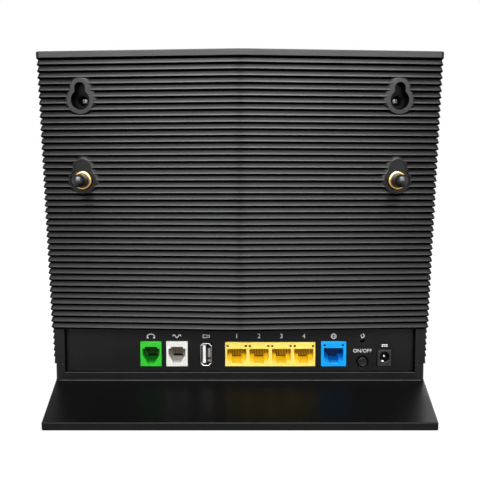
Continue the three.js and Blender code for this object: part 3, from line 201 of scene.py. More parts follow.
def rounded(corners, radii, steps=4, closed=True):
    """A line with each corner replaced by an arc tangent to both of its sides."""
    corners = [Vector(corner) for corner in corners]
    points = []
    for i, corner in enumerate(corners):
        radius = radii[i] if isinstance(radii, (list, tuple)) else radii
        if radius == 0 or (not closed and i in (0, len(corners) - 1)):
            points.append(corner)
            continue
        back = (corners[i - 1] - corner).normalized()
        ahead = (corners[(i + 1) % len(corners)] - corner).normalized()
        half = back.angle(ahead) / 2
        centre = corner + (back + ahead).normalized() * (radius / math.sin(half))
        spoke = corner + back * (radius / math.tan(half)) - centre
        turn = (math.pi - 2 * half) * (1 if back.cross(ahead) < 0 else -1)
        points += [centre + Matrix.Rotation(turn * step / steps, 2) @ spoke for step in range(steps + 1)]
    return points


def part_at(z):
    return PART_BOTTOM + JOINT_LEAN * (z - HOUSING_BOTTOM)


def half_width_at(z):
    return HALF_WIDTH_BOTTOM + (HALF_WIDTH_TOP - HALF_WIDTH_BOTTOM) * (z - HOUSING_BOTTOM) / HOUSING_HEIGHT


def fold_at(z):
    return rear_at_lowest_rib - (z - RIB_BOTTOM) * LEAN


def mesh_piece(name, points, faces, place=Matrix()):
    """A piece from points in millimetres, in a frame of their own that the place puts in the router."""
    shift = Vector((0, PANEL_FACE, 0))
    mesh = bpy.data.meshes.new(name)
    mesh.from_pydata([(place @ Vector(point) + shift) * MM for point in points], [], faces)
    piece = bpy.data.objects.new(name, mesh)
    bpy.context.scene.collection.objects.link(piece)
    return piece


def loft(name, rings, place=Matrix()):
    """A closed skin through rings of (x, y, z) points, which run anticlockwise as seen from the last one."""
    count = len(rings[0])
    faces = [tuple(reversed(range(count)))]
    for level in range(len(rings) - 1):
        for i in range(count):
            a, b = level * count + i, level * count + (i + 1) % count
            faces.append((a, b, b + count, a + count))
    last = (len(rings) - 1) * count
    faces.append(tuple(range(last, last + count)))
    return mesh_piece(name, [point for ring in rings for point in ring], faces, place)


def plate(name, outline, low, high, place=Matrix(), low_edge=0, high_edge=0, steps=3):
    """A solid between two heights. Its outline is a function of the inset, and a negative edge flares out."""
    levels = []
    for height, edge, side in ((low, low_edge, 1), (high, high_edge, -1)):
        if edge == 0:
            levels.append((0, height))
            continue
        turns = [math.radians(90 * i / steps) for i in range(steps + 1)]
        curve = [(edge * (1 - math.sin(turn)), height + side * abs(edge) * (1 - math.cos(turn)))
                 for turn in turns]
        levels += curve if side == 1 else reversed(curve)
    return loft(name, [[(x, y, height) for x, y in outline(inset)] for inset, height in levels], place)


def block(name, low, high, place=Matrix()):
    (x0, y0, z0), (x1, y1, z1) = low, high
    return loft(name, [[(x0, y0, z), (x1, y0, z), (x1, y1, z), (x0, y1, z)] for z in (z0, z1)], place)


def baked(piece):
    """The piece as a plain mesh, with what its modifiers make of it."""
    mesh = bpy.data.meshes.new_from_object(piece.evaluated_get(bpy.context.evaluated_depsgraph_get()))
    piece.modifiers.clear()
    old, piece.data = piece.data, mesh
    bpy.data.meshes.remove(old)
    mesh.name = piece.name
    return piece


def facing_out(piece):
    shape = bmesh.new()
    shape.from_mesh(piece.data)
    bmesh.ops.recalc_face_normals(shape, faces=shape.faces)
    shape.to_mesh(piece.data)
    shape.free()
    return piece


def combined(operation, piece, tools):
    for tool in tools:
        step = piece.modifiers.new("step", "BOOLEAN")
        step.operation = operation
        step.solver = "MANIFOLD"
        step.object = tool
        baked(piece)
        if not piece.data.polygons:
            raise ValueError(f"nothing is left of {piece.name} after {tool.name}")
        bpy.data.objects.remove(tool)
    return piece


def cut(piece, *tools):
    """The piece with the tools cut out of it, which are used up."""
    return combined("DIFFERENCE", piece, tools)


def joined(piece, *others):
    """The piece with the others welded to it, which are used up."""
    return combined("UNION", piece, others)


def finished(piece, material, slot, nodes, body="router", sharp=32):
    """Shades and colours a piece that stands for the nodes given, hangs it on its body and hides those nodes."""
    mesh = piece.data
    mesh.materials.clear()
    mesh.materials.append(material)
    mesh.polygons.foreach_set("use_smooth", [True] * len(mesh.polygons))
    mesh.set_sharp_from_angle(angle=math.radians(sharp))
    even = piece.modifiers.new("even", "WEIGHTED_NORMAL")
    even.keep_sharp = True
    baked(piece)
    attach(piece, body)
    if nodes:
        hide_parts(*nodes)
    return piece


def set_input(modifier, tree, values):
    """Sets a Geometry Nodes modifier's inputs, found by name, through their identifiers."""
    for item in tree.interface.items_tree:
        if item.item_type == "SOCKET" and item.in_out == "INPUT" and item.name in values:
            modifier[item.identifier] = values[item.name]


def noise(tree, scale, detail=2):
    """Noise over the router, which a piece carries with it."""
    place = add_node(tree, "ShaderNodeTexCoord").outputs["Object"]
    inputs = {"Vector": place, "Scale": scale, "Detail": detail}
    return add_node(tree, "ShaderNodeTexNoise", inputs).outputs["Fac"]


def relief(tree, height, strength, depth):
    """A bump of a depth in millimetres."""
    inputs = {"Strength": strength, "Distance": depth * MM, "Height": height}
    return add_node(tree, "ShaderNodeBump", inputs).outputs[0]


def between(tree, share, first, second):
    """A colour that passes from one to another, each given as a socket or as red, green and blue."""
    ends = [end if isinstance(end, bpy.types.NodeSocket) else (*end, 1) for end in (first, second)]
    return add_node(tree, "ShaderNodeMix", {"Factor": share, 6: ends[0], 7: ends[1]}, data_type="RGBA").outputs[2]


def surface(tree, output, inputs):
    shader = add_node(tree, "ShaderNodeBsdfPrincipled", inputs)
    tree.links.new(shader.outputs[0], output.inputs[0])


def rib_light(tree, facing, root):
    """The share of light at a point of the ribbed face: 1 on the crests, and the root's share at the roots.

    It stays 1 on the side walls, on the front and on the plain band over the ribs."""
    place = add_node(tree, "ShaderNodeTexCoord").outputs["Object"]
    at = add_node(tree, "ShaderNodeSeparateXYZ", {0: place}).outputs
    depth = maths(tree, "MULTIPLY_ADD", maths(tree, "ABSOLUTE", at["X"]), -FOLD, at["Y"])
    depth = maths(tree, "MULTIPLY_ADD", at["Z"], LEAN, depth)
    crest = (PANEL_FACE + fold_at(0)) * MM
    band_bottom = HOUSING_TOP - top_band
    share = ranged(tree, depth, crest, crest + rib_depth * MM, 1, root)
    for other in (ranged(tree, maths(tree, "ABSOLUTE", facing["X"]), 0.5, 0.6),
                  ranged(tree, facing["Y"], 0.1, 0.2),
                  ranged(tree, at["Z"], band_bottom * MM, (band_bottom + 0.3) * MM),
                  ranged(tree, at["Z"], (RIB_BOTTOM - 0.5) * MM, RIB_BOTTOM * MM, 0.75, 0)):
        share = maths(tree, "MAXIMUM", share, other)
    return share


def grained_plastic(name, colour, roughness, specular, grain=0.35, grain_size=0.25, below=0, above=1, root=1):
    """A moulded plastic with a fine grain, whose gloss and tone drift slightly.

    Below and above are the shares of its sheen on undersides and on level tops, and the root is the share of its
    light that is left between the rear ribs. Undersides are also painted darker in colour, as painted shade."""
    material, tree, output = new_material(name)
    drift = noise(tree, 45, 3)
    gloss = ranged(tree, drift, 0.3, 0.7, roughness - 0.025, roughness + 0.025)
    tone = between(tree, drift, [channel * 0.88 for channel in colour], [channel * 1.12 for channel in colour])
    facing = add_node(tree, "ShaderNodeNewGeometry").outputs["True Normal"]
    facing = add_node(tree, "ShaderNodeSeparateXYZ", {0: facing}).outputs
    sheen = maths(tree, "MULTIPLY", ranged(tree, facing["Z"], -0.5, -0.15, specular * below, specular),
                  ranged(tree, facing["Z"], 0.9, 1, 1, above))
    # Painted shade: undersides are painted darker, to the below share of the colour but never under 0.15 of it.
    shade = ranged(tree, facing["Z"], -0.5, -0.15, max(0.15, below), 1)
    if root < 1:
        light = rib_light(tree, facing, root)
        sheen, shade = [maths(tree, "MULTIPLY", value, light) for value in (sheen, shade)]
    tone = add_node(tree, "ShaderNodeVectorMath", {0: tone, "Scale": shade}, operation="SCALE").outputs[0]
    surface(tree, output, {"Base Color": tone, "Roughness": gloss, "Specular IOR Level": sheen,
            "Normal": relief(tree, noise(tree, 1 / (grain_size * MM)), grain, 0.03)})
    return material


housing_black = grained_plastic("housing_black", (0.004, 0.004, 0.0043), 0.34, 0.187, 0.25, above=0.35, root=0.14)


def new_group(name, sockets):
    """A Geometry Nodes group, with its inputs and a function that adds a node to it and gives the node's result."""
    tree = bpy.data.node_groups.new(name, "GeometryNodeTree")
    tree.is_modifier = True
    tree.interface.new_socket("Geometry", in_out="OUTPUT", socket_type="NodeSocketGeometry")
    for socket, kind in (("Geometry", "Geometry"), *sockets):
        tree.interface.new_socket(socket, in_out="INPUT", socket_type=f"NodeSocket{kind}")

    def node(kind, inputs=None, **settings):
        return add_node(tree, kind, inputs, **settings).outputs[0]
    return tree, tree.nodes.new("NodeGroupInput").outputs, node


def stacked_ribs():
    """Stacks the section of one rib up the wall, and sweeps the stack round the wall's plan.

    The mesh that comes in holds three lines, told apart by their points' number "line": 0 is the closed plan,
    1 the section of a rib as outward step and height, and 2 the section of the plain edge beyond the ribs.
    """
    tree, given, node = new_group("stacked_ribs", (
        ("Rib Count", "Int"), ("Rib Pitch", "Float"), ("Lowest Rib", "Float"), ("Foot Height", "Float"),
        ("Side Draft", "Float"), ("Finish", "Material")))

    def attribute(name, kind="FLOAT"):
        return node("GeometryNodeInputNamedAttribute", {"Name": name}, data_type=kind)

    def stored(geometry, name, value, kind="FLOAT"):
        inputs = {"Geometry": geometry, "Name": name, "Value": value}
        return node("GeometryNodeStoreNamedAttribute", inputs, data_type=kind)

    def line(number):
        same = node("FunctionNodeCompare", {2: attribute("line", "INT"), 3: number}, data_type="INT",
                    operation="EQUAL")
        return node("GeometryNodeSeparateGeometry", {"Geometry": given["Geometry"], "Selection": same})

    position = node("GeometryNodeInputPosition")
    plan = stored(node("GeometryNodeMeshToCurve", {"Mesh": line(0)}), "plan", position, "FLOAT_VECTOR")
    first = node("ShaderNodeCombineXYZ", {"Z": given["Lowest Rib"]})
    pitch = node("ShaderNodeCombineXYZ", {"Z": given["Rib Pitch"]})
    steps = node("GeometryNodeMeshLine", {"Count": given["Rib Count"], "Start Location": first, "Offset": pitch})
    ribs = node("GeometryNodeInstanceOnPoints", {"Points": steps, "Instance": line(1)})
    both = tree.nodes.new("GeometryNodeJoinGeometry")
    tree.links.new(node("GeometryNodeRealizeInstances", {"Geometry": ribs}), both.inputs[0])
    tree.links.new(line(2), both.inputs[0])
    section = node("GeometryNodeMergeByDistance", {"Geometry": both.outputs[0], "Distance": 1e-6})
    section = node("GeometryNodeMeshToCurve", {"Mesh": section})
    parts = add_node(tree, "ShaderNodeSeparateXYZ", {0: position}).outputs
    section = stored(stored(section, "step_out", parts["X"]), "height", parts["Z"])
    for name in ("outward", "slope"):
        section = node("GeometryNodeRemoveAttribute", {"Geometry": section, "Name": name})

    wall = node("GeometryNodeCurveToMesh", {"Curve": section, "Profile Curve": plan, "Fill Caps": True})
    height = attribute("height")
    rise = maths(tree, "SUBTRACT", height, given["Foot Height"])
    at = add_node(tree, "ShaderNodeSeparateXYZ", {0: attribute("plan", "FLOAT_VECTOR")}).outputs
    x = maths(tree, "MULTIPLY", at["X"], maths(tree, "MULTIPLY_ADD", given["Side Draft"], rise, 1))
    y = maths(tree, "MULTIPLY_ADD", attribute("slope"), rise, at["Y"])
    flush = node("ShaderNodeCombineXYZ", {"X": x, "Y": y, "Z": height})
    step = node("ShaderNodeVectorMath", {0: attribute("outward", "FLOAT_VECTOR"), "Scale": attribute("step_out")},
                operation="SCALE")
    there = node("ShaderNodeVectorMath", {0: flush, 1: step}, operation="ADD")
    wall = node("GeometryNodeSetPosition", {"Geometry": wall, "Position": there})
    for name in ("plan", "outward", "slope", "line", "step_out", "height"):
        wall = node("GeometryNodeRemoveAttribute", {"Geometry": wall, "Name": name})
    wall = node("GeometryNodeRealizeInstances", {"Geometry": wall})
    wall = node("GeometryNodeSetMaterial", {"Geometry": wall, "Material": given["Finish"]})
    tree.links.new(wall, tree.nodes.new("NodeGroupOutput").inputs[0])
    return tree


rib_stack = stacked_ribs()
side_draft = (HALF_WIDTH_TOP / HALF_WIDTH_BOTTOM - 1) / HOUSING_HEIGHT


def ribbed_wall(name, plan, lean, count, lowest, edge):
    """A solid with ribs round an open plan line, which runs from one joint round the rear to the other."""
    steps = 6
    board = [(-rib_depth * (i / steps) ** rib_hollow, rib_lip + (rib_pitch - rib_lip) * i / steps)
             for i in range(1, steps)]
    gap_depth, gap_height = rib_gap
    gap_root = -rib_depth - gap_depth
    gap = [(-rib_depth, -gap_slant), (gap_root, 0), (gap_root, gap_height), (-rib_depth, gap_height)]
    rib = rounded([*gap, (0, rib_lip), *board, (-rib_depth, rib_pitch - gap_slant)],
                  [0] * len(gap) + [rib_round] + [0] * steps, closed=False)
    mesh = bpy.data.meshes.new(name)
    shift = Vector((0, PANEL_FACE, 0))
    points = [(Vector((x, y, HOUSING_BOTTOM)) + shift) * MM for x, y in plan]
    points += [Vector((x, 0, z)) * MM for x, z in rib + edge]
    edges = [(i, (i + 1) % len(plan)) for i in range(len(plan))]
    for start, line in ((len(plan), rib), (len(plan) + len(rib), edge)):
        edges += [(start + i, start + i + 1) for i in range(len(line) - 1)]
    mesh.from_pydata(points, edges, [])
    mesh.attributes.new("line", "INT", "POINT").data.foreach_set(
        "value", [0] * len(plan) + [1] * len(rib) + [2] * len(edge))
    outward, slope = [], []
    for i, (x, y) in enumerate(plan):
        before, after = plan[max(i - 1, 0)], plan[min(i + 1, len(plan) - 1)]
        normals = [Vector((b.y - a.y, a.x - b.x)).normalized()
                   for a, b in ((before, plan[i]), (plan[i], after)) if a != b]
        mean = sum(normals, Vector((0, 0))) / len(normals)
        mean = mean / mean.length_squared
        at_joint = i in (0, len(plan) - 1)
        outward += [mean.x, mean.y * (lean != 0), 0]
        slope.append(JOINT_LEAN if at_joint else lean + abs(x) * side_draft * FOLD * (lean != 0))
    blank = [0] * (len(rib) + len(edge))
    mesh.attributes.new("outward", "FLOAT_VECTOR", "POINT").data.foreach_set("vector", outward + blank * 3)
    mesh.attributes.new("slope", "FLOAT", "POINT").data.foreach_set("value", slope + blank)
    piece = bpy.data.objects.new(name, mesh)
    bpy.context.scene.collection.objects.link(piece)
    ribs = piece.modifiers.new("ribs", "NODES")
    ribs.node_group = rib_stack
    set_input(ribs, rib_stack, {"Rib Count": count, "Rib Pitch": rib_pitch * MM, "Lowest Rib": lowest * MM,
              "Foot Height": HOUSING_BOTTOM * MM, "Side Draft": side_draft / MM, "Finish": housing_black})
    return facing_out(baked(piece))


def rear_plan(inset=0):
    """The wall's plan at the lower edge: joint, rear corner, fold, rear corner, joint."""
    side = HALF_WIDTH_BOTTOM - inset
    rear = fold_at(HOUSING_BOTTOM) + inset
    corners = [(-side, PART_BOTTOM), (-side, rear + side * FOLD), (0, rear), (side, rear + side * FOLD),
               (side, PART_BOTTOM)]
    return rounded(corners, [0, rear_corner, fold_round, rear_corner, 0], 6, closed=False)


def cheek_plan(inset=0):
    side = HALF_WIDTH_BOTTOM - inset
    corners = [(-side, PART_BOTTOM), (-side, -CHEEK_REACH), (side, -CHEEK_REACH), (side, PART_BOTTOM)]
    return rounded(corners, [0, cheek_corner, cheek_corner, 0], 4, closed=False)


rib_top = HOUSING_TOP - top_band
band = rounded([(-rib_depth, rib_top), (0, rib_top + rib_lip), (0, HOUSING_TOP), (-top_round, HOUSING_TOP)],
               [0, rib_round, top_round * 0.9, 0], closed=False)
side_ribs = int((RIB_BOTTOM - HOUSING_BOTTOM) / rib_pitch)
lowest_side_rib = RIB_BOTTOM - side_ribs * rib_pitch
foot_edge = [Vector((-rib_depth / 2, HOUSING_BOTTOM)), Vector((-rib_depth, lowest_side_rib))]
rear_cover = ribbed_wall("rear_cover_ribs", rear_plan(), -LEAN, rib_count, RIB_BOTTOM, band)
cheeks = ribbed_wall("cheek_ribs", cheek_plan(), 0, side_ribs, lowest_side_rib, foot_edge)


def past_joint(ring, way):
    """The open ring with its ends moved past the joint, so that a hollow opens the cover there."""
    return [(x, y + (way if i in (0, len(ring) - 1) else 0)) for i, (x, y) in enumerate(ring)]


def rear_ring(z, inset):
    """The wall's outline at a height, as a closed ring that runs anticlockwise from above."""
    ring = []
    plan = rear_plan(inset)
    for i, (x, y) in enumerate(plan):
        at_joint = i in (0, len(plan) - 1)
        slope = JOINT_LEAN if at_joint else abs(x) * side_draft * FOLD - LEAN
        ring.append((x * (1 + side_draft * (z - HOUSING_BOTTOM)), y + slope * (z - HOUSING_BOTTOM)))
    return ring


skin = rib_depth + COVER_WALL
upper_hollow = loft("upper_hollow", [[(x, y, z) for x, y in past_joint(rear_ring(z, skin), 1)]
                                     for z in (RIB_BOTTOM + COVER_WALL, HOUSING_TOP - COVER_WALL)])
low_half = HALF_WIDTH_BOTTOM - skin
lower_hollow = block("lower_hollow", (-low_half, PANEL_THICKNESS, HOUSING_BOTTOM - 1),
                     (low_half, PART_BOTTOM + 1, RIB_BOTTOM + COVER_WALL + 0.2))
panel_opening = block("panel_opening", (-PANEL_HALF_WIDTH, rear_at_lowest_rib - 1, HOUSING_BOTTOM - 1),
                      (PANEL_HALF_WIDTH, PANEL_THICKNESS + 0.2, RIB_BOTTOM))


def repeated():
    """A row of copies of the piece that comes in, centred on it."""
    tree, given, node = new_group("repeated_in_a_row", (("Count", "Int"), ("Step", "Vector"),
                                                        ("Finish", "Material")))
    back = maths(tree, "MULTIPLY", maths(tree, "SUBTRACT", given["Count"], 1), -0.5)
    start = node("ShaderNodeVectorMath", {0: given["Step"], "Scale": back}, operation="SCALE")
    row = node("GeometryNodeMeshLine", {"Count": given["Count"], "Start Location": start,
                                        "Offset": given["Step"]})
    copies = node("GeometryNodeInstanceOnPoints", {"Points": row, "Instance": given["Geometry"]})
    copies = node("GeometryNodeRealizeInstances", {"Geometry": copies})
    copies = node("GeometryNodeSetMaterial", {"Geometry": copies, "Material": given["Finish"]})
    tree.links.new(copies, tree.nodes.new("NodeGroupOutput").inputs[0])
    return tree


row_of_copies = repeated()


def in_row(piece, count, step, material=housing_black):
    """The piece repeated in a row along a step in millimetres, centred on where it was."""
    row = piece.modifiers.new("row", "NODES")
    row.node_group = row_of_copies
    set_input(row, row_of_copies, {"Count": count, "Step": tuple(Vector(step) * MM), "Finish": material})
    return baked(piece)


def rectangle(width, height, corner=0, steps=4):
    """An outline function for a plate: a rectangle about the origin, with round corners."""
    def outline(inset):
        x, y = width / 2 - inset, height / 2 - inset
        corners = [(-x, -y), (x, -y), (x, y), (-x, y)]
        return rounded(corners, max(corner - inset, 0.02), steps) if corner else corners
    return outline


vent_width, vent_length = vent_size
vent_middle = (fold_at(HOUSING_TOP) + part_at(HOUSING_TOP)) / 2 + rib_depth + 1.5
vents = plate("vents", rectangle(vent_width, vent_length, vent_width / 2 - 0.01), HOUSING_TOP - 4, HOUSING_TOP,
              Matrix.Translation((0, vent_middle, 0)), high_edge=-0.3)
vents = in_row(vents, vent_count, (vent_pitch, 0, 0))
rear_cover = joined(rear_cover, cheeks)
rear_cover = cut(rear_cover, upper_hollow, lower_hollow, panel_opening, vents)

MOUNT_X = 92.9
KEYHOLE_Z = 174.5
STUD_Z = 128.2
lobe_radius = 5.45
slot_half_width = 3.05
neck_rise = 7.1
boss_wall = 2.65
boss_face = -0.1
flank_reach = 1.8  # how far a boss spreads from its face down to the root of the ribs
KEYHOLE_RIM = 1.8
KEYHOLE_ROOM = 3.2
KEYHOLE_FLOOR = 1.6
STUD_FACE_DEPTH = 0.9
stud_rim = 0.5
SCREW_HEAD_DEPTH = 9.4
SCREW_HEAD_HEIGHT = 2
screw_seat = 2.4
screw_way_radius = 1.7
well_radius = 2.9
well_mouth_radius = 3.6
keyhole_soft = 0.25
keyhole_undercut = 0.7
post_radius = 4.6
bush_way = (5.25, 6.5)  # radius, and depth below the pocket's floor
SCREW_POST_END = SCREW_HEAD_DEPTH + SCREW_HEAD_HEIGHT + screw_seat


def rear_frame(x, z):
    """A frame on the plane of the rib crests: across it, up it, and straight out of it."""
    side = math.copysign(FOLD, x)
    out = Vector((side, -1, -LEAN)).normalized()
    across = Vector((1, side, 0)).normalized()
    turn = Matrix((across, out.cross(across), out)).transposed()
    return Matrix.Translation((x, fold_at(z) + abs(x) * FOLD, z)) @ turn.to_4x4()


def keyhole_outline(offset):
    """A keyhole grown by an offset: a round lobe, 45 degree shoulders and a straight slot with a round top."""
    lobe, slot = lobe_radius + offset, slot_half_width + offset
    shoulder = lobe * math.sqrt(2) - slot
    top = max(neck_rise, shoulder + 0.1)
    return [*arc(0, 0, lobe, 135, 270, 24), Vector((slot, shoulder)), *arc(0, top, slot, 0, 180, 12),
            Vector((-slot, shoulder))]


def circle(radius, steps=40):
    def outline(inset):
        return arc(0, 0, radius - inset, 0, 360 * (1 - 1 / steps), steps - 1)
    return outline


def rod(name, radius, low, high, place=Matrix(), low_edge=0, high_edge=0, steps=40):
    return plate(name, circle(radius, steps), low, high, place, low_edge, high_edge)


def boss(depth, place):
    """A boss flush with the crests, whose drafted flank spreads down over the ribs to their root."""
    edge = 0.2
    slope = flank_reach / (rib_depth + boss_face)
    levels = [(flank_reach + 0.4, -depth), (flank_reach + 0.4, -rib_depth - 0.4 / slope),
              (edge * 0.5, boss_face - edge), (-edge * 0.3, boss_face - edge * 0.3), (-edge, boss_face)]
    return loft("boss", [[(x, y, z) for x, y in keyhole_outline(boss_wall + grown)] for grown, z in levels],
                place)


def keyhole_opening(place):
    """The opening with its softened rim, the room behind it, and the well down to the cover screw."""
    room_floor = -KEYHOLE_RIM - KEYHOLE_ROOM
    well_floor = -SCREW_HEAD_DEPTH - SCREW_HEAD_HEIGHT
    rim = plate("rim", lambda inset: keyhole_outline(-inset), -KEYHOLE_RIM - 0.1, boss_face, place,
                high_edge=-keyhole_soft)
    mouth = plate("mouth", lambda inset: keyhole_outline(keyhole_soft), boss_face - 0.02, 1, place)
    room_behind = plate("room_behind", lambda inset: keyhole_outline(keyhole_undercut), room_floor,
                        -KEYHOLE_RIM, place)
    step = rod("well_step", well_mouth_radius, room_floor - 1, -KEYHOLE_RIM, place, steps=32)
    well = rod("well", well_radius, well_floor, -KEYHOLE_RIM, place, steps=32)
    screw_way = rod("screw_way", screw_way_radius, -SCREW_POST_END - 1, -KEYHOLE_RIM, place, steps=20)
    return rim, mouth, room_behind, step, well, screw_way


mount_places = [rear_frame(side * MOUNT_X, KEYHOLE_Z) for side in (-1, 1)]
stud_places = [rear_frame(side * MOUNT_X, STUD_Z) for side in (-1, 1)]
for place in mount_places:
    rear_cover = joined(rear_cover, boss(KEYHOLE_RIM + KEYHOLE_ROOM + KEYHOLE_FLOOR, place),
                        rod("screw_post", post_radius, -SCREW_POST_END, -KEYHOLE_RIM - KEYHOLE_ROOM - 1, place))
    rear_cover = cut(rear_cover, *keyhole_opening(place))
for place in stud_places:
    rear_cover = joined(rear_cover, boss(STUD_FACE_DEPTH + 8, place))
    pocket = plate("pocket", lambda inset: keyhole_outline(boss_wall - stud_rim - inset), -STUD_FACE_DEPTH, 1,
                   place)
    radius, depth = bush_way
    rear_cover = cut(rear_cover, pocket, rod("bore", radius, -STUD_FACE_DEPTH - depth, 1, place, steps=32))
finished(rear_cover, housing_black, "housing", ["rear_cover"])

# The floors of the two stud pockets are smooth.
smooth_black = grained_plastic("smooth_black", (0.006, 0.006, 0.0065), 0.2, 0.2, grain=0.05)
rear_cover.data.materials.append(smooth_black)
pocket_reach = (7, 13)  # a little over half of the pocket's width, and its height above the stud
for place in stud_places:
    seat = Matrix.Translation((0, PANEL_FACE, 0)) @ place
    inward = seat.inverted()
    for face in rear_cover.data.polygons:
        at = inward @ (face.center / MM)
        near = abs(at.x) < pocket_reach[0] and -pocket_reach[0] - 1 < at.y < pocket_reach[1]
        if near and abs(at.z + STUD_FACE_DEPTH) < 0.05 and face.normal.dot(seat.col[2].xyz) > 0.9:
            face.material_index = 1


# ================================================================ stand-off studs
# A round-ended black stud in a polished brass bush, pressed into each lower boss, with a thin collar that lies on
# the bush. The two studs hold the router off a wall when it hangs on the keyholes.

STUD_RADIUS = 3.75
stud_reach = 6.7
stud_tail = 5
stud_collar = (0.7, 0.4)  # reach and height of the collar that lies on the bush
bush_flange = (5.6, 1.5)
bush_barrel = (4.95, 4)
FIT = 0.3


def turned(name, profile, place=Matrix(), steps=48, ring=False):
    """A solid of revolution from (radius, height) points. A ring's profile is closed; others end on the axis."""
    points, faces = [], []
    inner = profile if ring else profile[1:-1]
    for radius, height in inner:
        points += [(x, y, height) for x, y in arc(0, 0, radius, 0, 360 * (1 - 1 / steps), steps - 1)]
    for level in range(len(inner) - (0 if ring else 1)):
        above = (level + 1) % len(inner)
        for i in range(steps):
            j = (i + 1) % steps
            faces.append((level * steps + i, level * steps + j, above * steps + j, above * steps + i))
    if not ring:
        last = (len(inner) - 1) * steps
        points += [(0, 0, profile[0][1]), (0, 0, profile[-1][1])]
        faces += [(len(points) - 2, (i + 1) % steps, i) for i in range(steps)]
        faces += [(len(points) - 1, last + i, last + (i + 1) % steps) for i in range(steps)]
    return facing_out(mesh_piece(name, points, faces, place))


def shaded_in_port(tree, colour, port_shade, start, end):
    """A colour that passes into a darker one between two depths behind the panel's face: painted shade in a port.
    """
    place = add_node(tree, "ShaderNodeTexCoord").outputs["Object"]
    at = add_node(tree, "ShaderNodeSeparateXYZ", {0: place}).outputs
    share = ranged(tree, at["Y"], (PANEL_FACE + start) * MM, (PANEL_FACE + end) * MM)
    return between(tree, share, colour, port_shade)


def metal(name, colour, roughness, scratch=0.03, port_shade=None):
    """A bare metal with very shallow fine streaks, which may get painted shade inside a port."""
    material, tree, output = new_material(name)
    streaks = noise(tree, 900, 4)
    surface(tree, output, {"Base Color": shaded_in_port(tree, colour, port_shade or colour, 0.6, 2.5), "Metallic": 1,
            "Roughness": ranged(tree, streaks, 0, 1, roughness - 0.1, roughness + 0.1),
            "Normal": relief(tree, streaks, 0.2, scratch)})
    return material


brass = metal("polished_brass", (0.43, 0.255, 0.085), 0.24, 0.01)
stud_black = grained_plastic("stud_black", (0.006, 0.006, 0.007), 0.32, 0.35, grain=0.1, grain_size=0.4,
                             below=0.8)
for side, place in zip(("left", "right"), stud_places):
    seat = place @ Matrix.Translation((0, 0, FIT - STUD_FACE_DEPTH))
    bore = STUD_RADIUS + FIT
    radius, height = bush_flange
    section = [(bore, -bush_barrel[1]), (bush_barrel[0], -bush_barrel[1]), (bush_barrel[0], 0), (radius, 0),
               (radius, height), (bore, height)]
    bush = turned(f"bush_{side}", rounded(section, [0, 0.2, 0, 0.3, 1.1, 0.3], 7), seat, 64, ring=True)
    finished(bush, brass, "brass", [f"standoff_bush_{side}"], sharp=40)
    tip = height + stud_reach
    dome = arc(0, tip, STUD_RADIUS, 0, 90, 12)[:-1]
    collar_radius, collar_top = STUD_RADIUS + stud_collar[0], height + stud_collar[1]
    collar = [(STUD_RADIUS, height + 0.03), (collar_radius, height + 0.03), (collar_radius, collar_top),
              (STUD_RADIUS, collar_top + 0.2)]
    profile = [(0, -stud_tail), (STUD_RADIUS - 0.4, -stud_tail), (STUD_RADIUS, 0.4 - stud_tail), *collar, *dome,
               (0, tip + STUD_RADIUS)]
    stud = turned(f"stud_{side}", profile, seat, 56)
    finished(stud, stud_black, "stud", [f"standoff_stud_{side}"])


# ================================================================ cover screws
# A pan-head screw with a cross recess, black zinc on steel, at the bottom of each keyhole. It pulls the two
# covers together through the posts.

def cross_recess(name, width, blade, depth, place):
    """A cutter for a cross recess: two crossing blades that taper to the bottom."""
    def arms(spread):
        a, b = width / 2 * spread, blade / 2
        return [(b, a), (-b, a), (-b, b), (-a, b), (-a, -b), (-b, -b),
                (-b, -a), (b, -a), (b, -b), (a, -b), (a, b), (b, b)]
    levels = [(0.35, -depth), (1, 0), (1.06, 0.2)]
    return loft(name, [[(x, y, z) for x, y in arms(spread)] for spread, z in levels], place)


screw_head_radius = 2.75
screw_shank_radius = 1.4
screw_length = 9
black_zinc = metal("black_zinc", (0.06, 0.06, 0.065), 0.24)


def threaded(low, high, radius, pitch=1.1, depth=0.22):
    """Profile points of a shank with closed thread ridges, from high down to low."""
    points = []
    for i in range(int((high - low) / pitch)):
        z = high - i * pitch
        points += [(radius - depth, z), (radius - depth, z - pitch * 0.55), (radius, z - pitch * 0.78)]
    return points


def pan_screw(name, head_radius, head_height, shank_radius, length, place):
    """A screw with its head's top at height 0 and its point down."""
    low = -head_height - length
    thread = threaded(low + shank_radius, -head_height - 0.6, shank_radius)
    head = [(head_radius, -head_height), (head_radius, -head_height * 0.55), (head_radius * 0.62, 0), (0, 0)]
    profile = [(0, low), *reversed(thread), (shank_radius, -head_height - 0.3), (shank_radius, -head_height),
               *rounded(head, [0, 0.3, 1.6, 0], 5, closed=False)]
    recess = cross_recess("recess", head_radius * 1.15, head_radius * 0.26, head_height * 0.6, place)
    return cut(turned(name, profile, place, 32), recess)


for side, place in zip(("left", "right"), mount_places):
    seat = place @ Matrix.Translation((0, 0, FIT - SCREW_HEAD_DEPTH))
    screw = pan_screw(f"keyhole_screw_{side}", screw_head_radius, SCREW_HEAD_HEIGHT, screw_shank_radius,
                      screw_length, seat)
    finished(screw, black_zinc, "steel", [f"cover_screw_{side}"])


# ================================================================ front cover
# The smooth black half of the housing, from the same plastic. Its face swells slightly across its width, and it
# carries the posts for the logic board, the slots for the lights and the hole for the pairing key.

